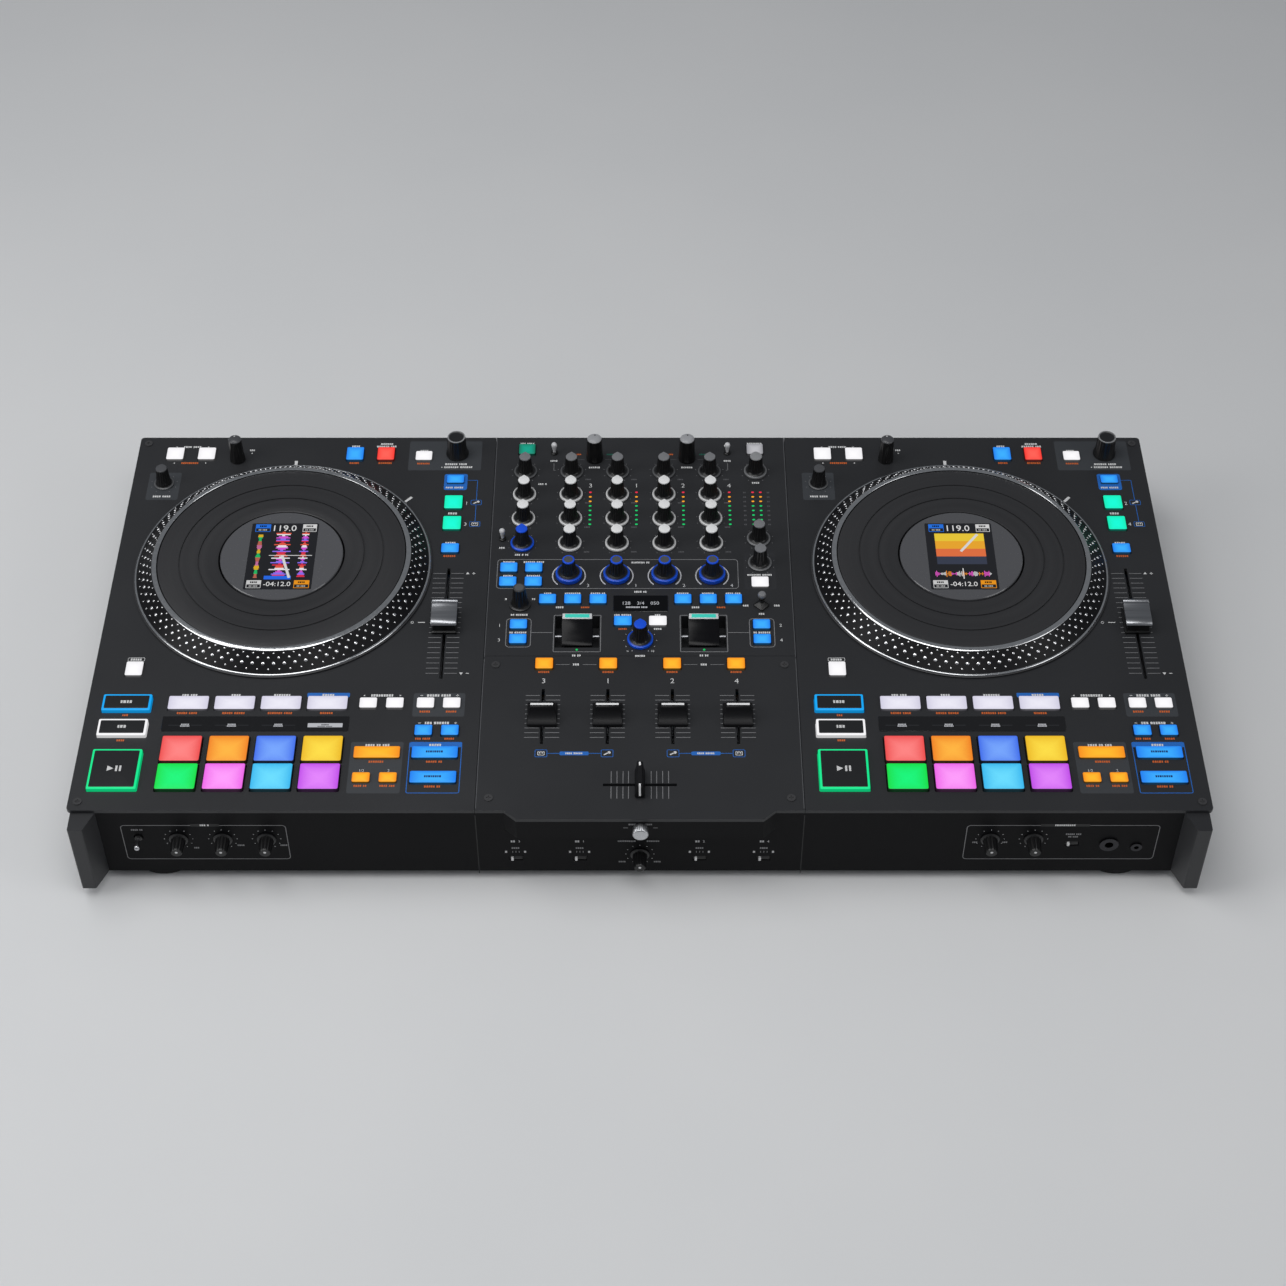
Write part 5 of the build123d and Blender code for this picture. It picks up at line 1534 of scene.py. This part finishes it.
def print_deck(side, numbers):
    """Fields first, then lines and scales, then the marks, all as one thin piece on the case."""
    left = DECK_LEFT[side]
    shape = Shape()

    def at(across, back):
        return left + across, FRONT_EDGE + back

    for tint, fields in ((PANEL_GREY, GREY_FIELDS), (INK_BLUE, BLUE_FIELDS)):
        for west, east, south, north, corner in fields:
            box = (left + west, left + east, FRONT_EDGE + south, FRONT_EDGE + north)
            patch(shape, box, tint, corner, high=FIELD_HIGH)
    outline(shape, (left + 244.4, left + 283.5, FRONT_EDGE + 16, FRONT_EDGE + 65), 0.6, INK_BLUE, 1.6)
    outline(shape, (left + 24.0, left + 37.0, FRONT_EDGE + 145.7, FRONT_EDGE + 149.6), 0.35, WHITE, 1.2)
    stroke(shape, at(273.7, 346), at(282.0, 346), 0.45, INK_BLUE)
    for start, end in ((346, 322.7), (317.3, 297.7)):
        stroke(shape, at(282, start), at(282, end), 0.45, INK_BLUE)
    for back, icon in ((320, microphone), (295, piano)):
        x, y = at(282, back)
        outline(shape, (x - 4.4, x + 4.4, y - 2.9, y + 2.9), 0.4, INK_BLUE, 1.0)
        icon(shape, x, y, WHITE)
    stroke(shape, at(131.5, 363.8), at(131.5, 369.2), 2.5, WHITE)
    stroke(shape, at(223.8, 320.2), at(229.4, 326.2), 2.2, WHITE)
    for back in np.linspace(133.5, 239.5, 21):
        for inner, outer in ((-2.2, -12), (2.2, 12)):
            stroke(shape, at(264 + inner, back), at(264 + outer, back), 0.45, DIM)
    stroke(shape, at(243.0, 186.5), at(248.5, 186.5), 0.8, WHITE)
    x, y = at(238.6, 186.5)
    arc(shape, (x, y), 1.0, 0.4, 0, 345, WHITE, steps=12)
    for back, up in ((239.5, 1), (133.5, -1)):
        triangle(shape, *at(279.0, back), 1.6, up, WHITE)
        stroke(shape, at(282.6, back), at(285.0, back), 0.6, WHITE)
    stroke(shape, at(283.8, 238.3), at(283.8, 240.7), 0.6, WHITE)
    for across, back in SIGNS:
        triangle(shape, *at(across, back), 0.9, 1, WHITE, 90 if across in (31, 207.5) else -90)
    for across, back in ((250.5, 111.0), (277.5, 111.0), (250.5, 83.6), (277.5, 83.6)):
        stroke(shape, at(across - 1, back), at(across + 1, back), 0.55, WHITE)
    for back in (111.0, 83.6):
        stroke(shape, at(277.5, back - 1), at(277.5, back + 1), 0.55, WHITE)
    for across in (251.8, 255.2):
        dot(shape, *at(across, 361.6), 0.6, WHITE)
    dots(shape, *at(26, 342), 10.6, 9, DIM)
    dot(shape, *at(94, 378.4), 0.6, WHITE)
    for mark, back in zip(numbers, (319, 295)):
        digits(shape, mark, *at(274.3, back), 5.2, WHITE)
    digits(shape, "1/2", *at(211, 37.6), 3.2, WHITE)
    digits(shape, "2", *at(230.7, 37.6), 3.2, WHITE)
    for across, back, words, size in WHITE_MARKS:
        dashes(shape, *at(across, back), words, WHITE, size * 1.2)
    for across, back, words, size in ORANGE_MARKS:
        dashes(shape, *at(across, back), words, INK_ORANGE, size * 1.2)
    shape.piece(f"{side}_deck_printing", "case", [ink], "plate_satin")
    return shape.count


print("corners printed:", print_deck("left", "13"), print_deck("right", "24"))

# %% [markdown]
# ## Printing on the mixer
# The mixer's marks stand in millimetres from the centre line. Every knob has its scale of dots, the effect
# knobs have pale brackets, and grey outlines join what belongs together. The channels count 3, 1, 2, 4.

# %% Marks between the knobs
COLUMNS = (-56.1, -18.5, 19.3, 56.8)
FADERS = (-73.0, -24.2, 24.5, 73.2)
METERS = (-40.5, -3.0, 35.0, 72.5)
ORDER = "3124"
# A pale line at each side of the mixer plate is a painted highlight: the lit edge of the plate.
EDGE_HIGHLIGHT = tone(92, 93, 96)
PALE = tone(206, 206, 208)


def here(across, back):
    """A spot on the mixer in whole-object millimetres."""
    return across, FRONT_EDGE + back


shape = Shape()
patch(shape, (82, 107, FRONT_EDGE + 222, FRONT_EDGE + 262.7), tone(44, 45, 48), 2.0, high=FIELD_HIGH)
outline(shape, (-113, 77.5, FRONT_EDGE + 222.8, FRONT_EDGE + 255.2), 0.5, DIM, 3.0)
for low, high, line_end, other in ((-103.6, -84.0, -67.6, -84.0), (84.4, 104.0, 68.0, 84.4)):
    outline(shape, (low, high, FRONT_EDGE + 160.3, FRONT_EDGE + 190.8), 0.55, DIM, 3.2)
    stroke(shape, here(other, 175.8), here(line_end, 175.8), 0.5, DIM)
for centre in (-48.5, 49.2):
    outline(shape, (centre - 18.4, centre + 18.4, FRONT_EDGE + 155.4, FRONT_EDGE + 194.4), 0.55, DIM, 1.0)
    dashes(shape, *here(centre, 151.8), (2, 2), WHITE, 1.9)
for x, mark in zip(COLUMNS, ORDER):
    for back in (356.0, 328.5, 300.5, 272.5):
        dots(shape, *here(x, back), 11.6, 9, DIM)
        dashes(shape, *here(x + 13.6, back - 9.0), (4,), FAINT, 1.4)
    for first in (128, -48):
        arc(shape, here(x, 237), 12.9, 0.95, first, first + 100, PALE)
    digits(shape, mark, *here(x + 15.2, 226.4), 4.6, PALE)
for back in (356.0, 328.5, 300.5, 272.5):
    dots(shape, *here(-94, back), 11.6, 9, DIM)
for x, mark in zip(METERS, ORDER):
    digits(shape, mark, *here(x, 339.8), 6.4, WHITE)
for spot in ((94.5, 356), (94.7, 278), (94.8, 250.7)):
    dots(shape, *here(*spot), 11.6, 9, DIM)
for step in range(8):
    for x in (85.0, 104.2):
        dashes(shape, *here(x, 294.5 + step * LAMP_PITCH), (2,), FAINT, 1.5)
dots(shape, *here(0.2, 167.5), 12.6, 11, PALE, 0.38)
digits(shape, "0", *here(-9.5, 156.3), 2.8, WHITE)
digits(shape, "10", *here(9.8, 156.3), 2.8, WHITE)
MIXER_MARKS = [
    (-93.5, 390.2, (3, 4)), (94.8, 390.2, (8,)), (-71, 387.6, (3,)), (-71, 369.2, (4,)),
    (71.9, 387.6, (3,)), (71.9, 369.2, (4,)), (-37.5, 361.3, (6,)), (38.5, 361.3, (6,)),
    (-79.6, 341.5, (3, 1)), (94.5, 343.0, (4,)), (-94, 260.2, (3, 1, 2)), (-110, 268.0, (3,)),
    (-103.7, 252.1, (6,)), (-84, 252.1, (6, 4)), (-104, 236.8, (5,)), (-84, 236.8, (7,)),
    (0.4, 251.6, (7, 2)), (0.4, 219.4, (4, 2)), (-93.6, 194.6, (2, 6)), (-104.6, 211.5, (1,)),
    (-83.0, 211.5, (2,)), (94.4, 237.9, (7, 5)), (94.6, 195.6, (3,)), (82.5, 204.5, (3,)),
    (106.8, 204.5, (3,)), (-94, 175.8, (2, 6)), (94.2, 175.8, (2, 6)), (0.2, 151.4, (5,)),
    (-13.3, 194.4, (3, 5)), (13.8, 194.4, (3,)), (13.8, 179.6, (4,)), (-62.4, 202.6, (4,)),
    (43.4, 202.6, (4,)), (-72.2, 217.6, (4,)), (-52.6, 217.6, (8,)), (-32.8, 217.6, (5, 2)),
    (33.5, 217.6, (6,)), (53.3, 217.6, (6,)), (73.0, 217.6, (4, 3)),
]
for x, back, words in MIXER_MARKS:
    dashes(shape, *here(x, back), words, WHITE, 1.85)
MIXER_ORANGE = [
    (-13.3, 179.6, (5,)), (-42.6, 202.6, (5,)), (63.2, 202.6, (5,)), (-50.5, 377, (3,)), (25.5, 377, (3,)),
]
for x, back, words in MIXER_ORANGE:
    dashes(shape, *here(x, back), words, INK_ORANGE, 1.6)
for x in (-25.0, 51.5):
    dashes(shape, *here(x, 377), (4,), tone(20, 110, 90), 1.6)
for x in (-37.5, 38.5):
    for inner, outer in ((-8.5, -17.0), (8.5, 17.0)):
        stroke(shape, here(x + inner, 371), here(x + outer, 371), 0.35, FAINT)
for x, hook in ((-71, 1.6), (71.9, -1.6)):
    stroke(shape, here(x, 366.6), here(x, 358.0), 0.4, DIM)
    stroke(shape, here(x, 358.0), here(x + hook, 358.0), 0.4, DIM)
for x, back, mark in ((-108.6, 183.5, "1"), (-108.6, 168, "3"), (108.8, 183.5, "2"), (108.8, 168, "4")):
    digits(shape, mark, *here(x, back), 4.4, WHITE)
# Painted highlight along the mixer plate's left and right edges.
for x in (-118.9, 118.9):
    stroke(shape, here(x, 150.5), here(x, 396.0), 0.45, EDGE_HIGHLIGHT)
shape.piece("mixer_printing", "case", [ink], "plate_satin")
print("corners printed on the mixer:", shape.count)

lamps = Shape()
for centre in (-48.5, 49.2):
    dome = [(0.95, 80.5), (0.95, 81.2), (0.7, 81.45), (0.3, 81.55)]
    lamps.grid(turned((*here(centre, 157.8), 0), dome, 16), LAMP_GREEN)
lamps.piece("paddle_lamps", "case", [lamp_plastic], "button_lit")

# %% Marks round the faders
shape = Shape()
for x, mark in zip(FADERS, ORDER):
    digits(shape, mark, *here(x, 125.8), 6.8, WHITE)
    dashes(shape, *here(x, 134.8), (6,), INK_ORANGE, 1.7)
    for back in np.linspace(69.5, 111.0, 10):
        for side in (-1, 1):
            stroke(shape, here(x + side * 2.4, back), here(x + side * 13.0, back), 0.5, DIM)
for centre in (-48.6, 48.8):
    dashes(shape, *here(centre, 142.5), (3,), WHITE, 2.0)
    for side in (-1, 1):
        stroke(shape, here(centre + side * 5.0, 142.5), here(centre + side * 15.5, 142.5), 0.4, DIM)
        stroke(shape, here(centre + side * 10.5, 54), here(centre + side * 19.6, 54), 0.5, INK_BLUE)
    box = (centre - 10.8, centre + 10.8, FRONT_EDGE + 52.2, FRONT_EDGE + 55.8)
    patch(shape, box, INK_BLUE, 1.0, high=FIELD_HIGH)
    dashes(shape, *here(centre, 54), (4, 5), WHITE, 1.6)
for x, icon in zip(FADERS, (piano, microphone, microphone, piano)):
    x, y = here(x, 54)
    outline(shape, (x - 4.6, x + 4.6, y - 3.6, y + 3.6), 0.45, INK_BLUE, 1.0)
    icon(shape, x, y, WHITE)
for x in (8.3, 12.3, 16.7, 21.0):
    for side in (-1, 1):
        for near, far in ((11.0, 22.4), (25.6, 37.0)):
            stroke(shape, here(side * x, near), here(side * x, far), 0.5, DIM)
# Painted highlight along the mixer plate's left and right edges, in front of the faders.
for x in (-118.9, 118.9):
    stroke(shape, here(x, 2.0), here(x, 148.5), 0.45, EDGE_HIGHLIGHT)
shape.piece("fader_printing", "case", [ink], "plate_satin")
print("corners printed round the faders:", shape.count)

# %% [markdown]
# ## Printing on the front
# Two outlined groups stand left and right on the front face. The knobs have their dots, and each of the slide
# switches under the hood has its short legend.

# %% Marks on the front face and the hood
FACE = (0, FRONT_EDGE, 0)
HOOD = (0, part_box("front_panel")[0][1] / MM, 0)


def front_stroke(shape, start, end, width, tint, spot=FACE):
    """A straight mark on the front: across and height instead of across and back."""
    start, end = np.asarray(start, float), np.asarray(end, float)
    ahead = (end - start) / np.linalg.norm(end - start)
    side = np.array([-ahead[1], ahead[0]]) * width / 2
    ring = np.array([start - side, end - side, end + side, start + side])
    rows = [np.column_stack([ring, np.full(4, height)]) for height in (SUNK, PROUD)]
    shape.grid(laid(np.array(rows), spot, FACING_FRONT), tint)


shape = Shape()
front = {"spot": FACE, "facing": FACING_FRONT}
outline(shape, (-378.8, -258.0, 24.0, 64.0), 0.5, DIM, 3.0, **front)
outline(shape, (238.4, 379.4, 24.0, 64.0), 0.5, DIM, 3.0, **front)
for west, east in ((-327.5, -306.5), (292.0, 328.0)):
    rings = [(0, SUNK), (0, PROUD + 0.01)]
    grid, place = stack(((west + east) / 2, 64.0), east - west, 3.0, 0.3, rings)
    shape.grid(laid(grid, FACE, FACING_FRONT), BLACK, place=place)
for x, z in ((-338.0, 48.0), (-305.5, 48.0), (-273.5, 48.0), (256.6, 48.0), (288.5, 48.0), (0.0, 30.0)):
    dots(shape, x, z, 10.4, 11, PALE, 0.36, **front)
for x, words in ((-317, (3, 1)), (310, (10,))):
    dashes(shape, x, 64.0, words, WHITE, 1.8, (0, FRONT_EDGE - 0.04, 0), FACING_FRONT)
FRONT_MARKS = [
    (-367, 58.5, (4, 2), DIM), (-326, 37.5, (3,), DIM), (-293, 40.5, (4,), DIM),
    (-261.5, 40.5, (4,), DIM), (246, 44, (3,), DIM), (268, 44, (3,), DIM),
    (317.3, 53.5, (5, 3), DIM), (317.3, 50.5, (2, 3), DIM), (-9.5, 45.3, (10,), DIM), (9.8, 45.3, (7,), DIM),
    (-13.0, 20.8, (4,), DIM), (13.0, 20.8, (4,), DIM),
]
for x, z, words, tint in FRONT_MARKS:
    dashes(shape, x, z, words, tint, 1.6, **front)
for x, mark in zip((-91.4, -44.2, 44.1, 91.4), ORDER):
    dashes(shape, x - 1.6, 45.0, (2,), PALE, 2.2, **front)
    digits(shape, mark, x + 2.8, 45.0, 3.2, PALE, **front)
    dashes(shape, x, 37.1, (4,), DIM, 1.8, **front)
    for offset in (-2.4, 0.0, 2.4):
        front_stroke(shape, (x + offset, 31.6), (x + offset, 33.6), 0.5, DIM)
    for offset in (-7.0, 7.0):
        dashes(shape, x + offset, 32.6, (1,), PALE, 2.2, **front)
dashes(shape, 0.5, 74.9, (7, 6), DIM, 1.5, HOOD, FACING_FRONT)
for x in (-119.5, 119.5):
    front_stroke(shape, (x, 7.0), (x, 75.5), 0.7, BLACK)
for start, end in ((-12.0, -8.6), (9.6, 13.0)):
    front_stroke(shape, (start, 71.0), (end, 71.0), 0.5, DIM, HOOD)
shape.piece("front_printing", "case", [ink], "case_black")
print("corners printed on the front:", shape.count)

# %% [markdown]
# ## Sockets at the back
# The back is worked on in its own flat axes: x runs to the left as seen from the front, y up and z out of the
# panel, and `laid` turns the finished surface. A phono socket is one closed profile: a coloured plastic base,
# a bright shell, a coloured insert and a bore. Upper sockets are white and lower ones red.

# %% Phono sockets, data sockets, mains inlet and rocker
FACING_BACK = np.array([[-1, 0, 0], [0, 0, 1], [0, 1, 0]], float)
BACK = (0, 205.0, 0)
PHONO_PROFILE = [
    (1.6, -16, 0), (5.3, -16, 0), (5.3, 1.1, 0), (5.1, 1.4, 0), (4.6, 1.5, 0), (4.15, 1.5, 1),
    (4.15, 1.8, 1), (4.0, 2.0, 1), (3.5, 2.0, 1), (3.35, 1.85, 1), (3.35, -0.6, 0), (2.3, -0.6, 1),
    (2.2, 0.4, 1), (1.9, 0.6, 1), (1.6, 0.3, 1),
]
INSERT_WHITE = tone(214, 212, 206)
INSERT_RED = tone(196, 26, 30)
TONGUE_GREY = tone(190, 190, 188)


def at_back(shape, surface, tint, finish=0, loop=False):
    """Adds a surface drawn in the back's own axes."""
    shape.grid(laid(surface, BACK, FACING_BACK), tint, finish, loop=loop)


def box_socket(shape, middle, size, mouth, out, deep, finish):
    """A block with a rectangular mouth: rings go up outside, over the rim and down to the mouth's floor."""
    rim = ((size[0] - mouth[0]) / 2, (size[1] - mouth[1]) / 2)
    rings = []
    for inset, corner, height in ((0, 0.8, -16), (0, 0.8, out - 0.3), (0.3, 0.6, out)):
        ring = rounded(size[0] - 2 * inset, size[1] - 2 * inset, corner)
        rings.append(np.column_stack([ring + middle, np.full(len(ring), height)]))
    for spread, height in ((0.3, out), (0, out - 0.4), (0, -deep)):
        ring = rounded(size[0] - 2 * rim[0] + 2 * spread, size[1] - 2 * rim[1] + 2 * spread, 0.8)
        rings.append(np.column_stack([ring + middle, np.full(len(ring), height)]))
    at_back(shape, np.array(rings), PLASTIC, finish)


shape = Shape()
sockets = solids("rear_sockets")
for (west, near, low), (east, far, high) in sockets:
    middle = np.array([-(west + east) / 2, (low + high) / 2])
    wide, tall = east - west, high - low
    if wide < 11:
        surface = turned((*middle, 0), [row[:2] for row in PHONO_PROFILE], 40)
        colour = INSERT_WHITE if middle[1] > 45 else INSERT_RED
        at_back(shape, surface, colour, [row[2] for row in PHONO_PROFILE], True)
    elif wide < 13:
        box_socket(shape, middle, (wide, tall), (8.6, 8.0), 0.6, 10, 1)
        tongue, place = stack(middle - (0, 0.4), 5.0, 3.2, 0.3, [(0, -10.2), (0, -1.6), (0.3, -1.3)])
        at_back(shape, tongue, TONGUE_GREY)
    elif wide > 20:
        box_socket(shape, middle, (wide, tall), (24.0, 16.0), 1.2, 15, 0)
        for pin in ((-7, -1.8), (0, 2.6), (7, -1.8)):
            rings = [(0, -15.5), (0, -1.6), (0.4, -0.8)]
            at_back(shape, stack(middle + pin, 2.2, 4.2, 0.4, rings)[0], PLASTIC, 1)
    else:
        box_socket(shape, middle, (wide, tall), (wide - 2.4, tall - 2.4), 1.0, 1.0, 0)
        top = [(-8.6, -1.2), (8.6, -1.2), (8.6, 1.9), (4.4, 1.0), (0, 0.5), (-4.4, 0.3), (-8.6, 0.5)]
        ends = [(-5.3, 0.3), (-5.0, 0), (5.0, 0), (5.3, 0.3)]
        at_back(shape, pushed((*middle, 0), top, ends), BLACK)
socket_paints = [knob_plastic, paints["switch_metal"]]
shape.piece("rear_socket_faces", "case", socket_paints, "socket_metal", ["rear_sockets"])
print("sockets at the back:", len(sockets))

# %% Marks on the back
shape = Shape()
back = {"spot": BACK, "facing": FACING_BACK}
for west, east in ((-165.0, -39.0), (-26.0, 2.0)):
    outline(shape, (-east, -west, 24.0, 70.0), 0.5, DIM, 2.5, **back)
for x, mark in zip((-150, -118, -86, -54), "4321"):
    dashes(shape, -x, 66.2, (5,), DIM, 1.7, **back)
    digits(shape, mark, -x - 9.6, 45.0, 4.0, DIM, **back)
    dashes(shape, -x, 45.0, (4,), FAINT, 1.5, **back)
dashes(shape, 12, 66.2, (4, 3), DIM, 1.7, **back)
dashes(shape, 12, 45.0, (3,), FAINT, 1.5, **back)
for x, mark in ((60, "2"), (100, "1")):
    digits(shape, mark, -x, 58.0, 4.0, DIM, **back)
    dashes(shape, -x, 33.0, (5, 2), DIM, 1.6, **back)
dashes(shape, -290, 27.5, (5, 4, 4), DIM, 1.6, **back)
digits(shape, "1", -335, 60.0, 4.4, DIM, **back)
digits(shape, "0", -335, 28.0, 4.4, DIM, **back)
shape.piece("rear_printing", "case", [ink], "case_black")
print("corners printed on the back:", shape.count)
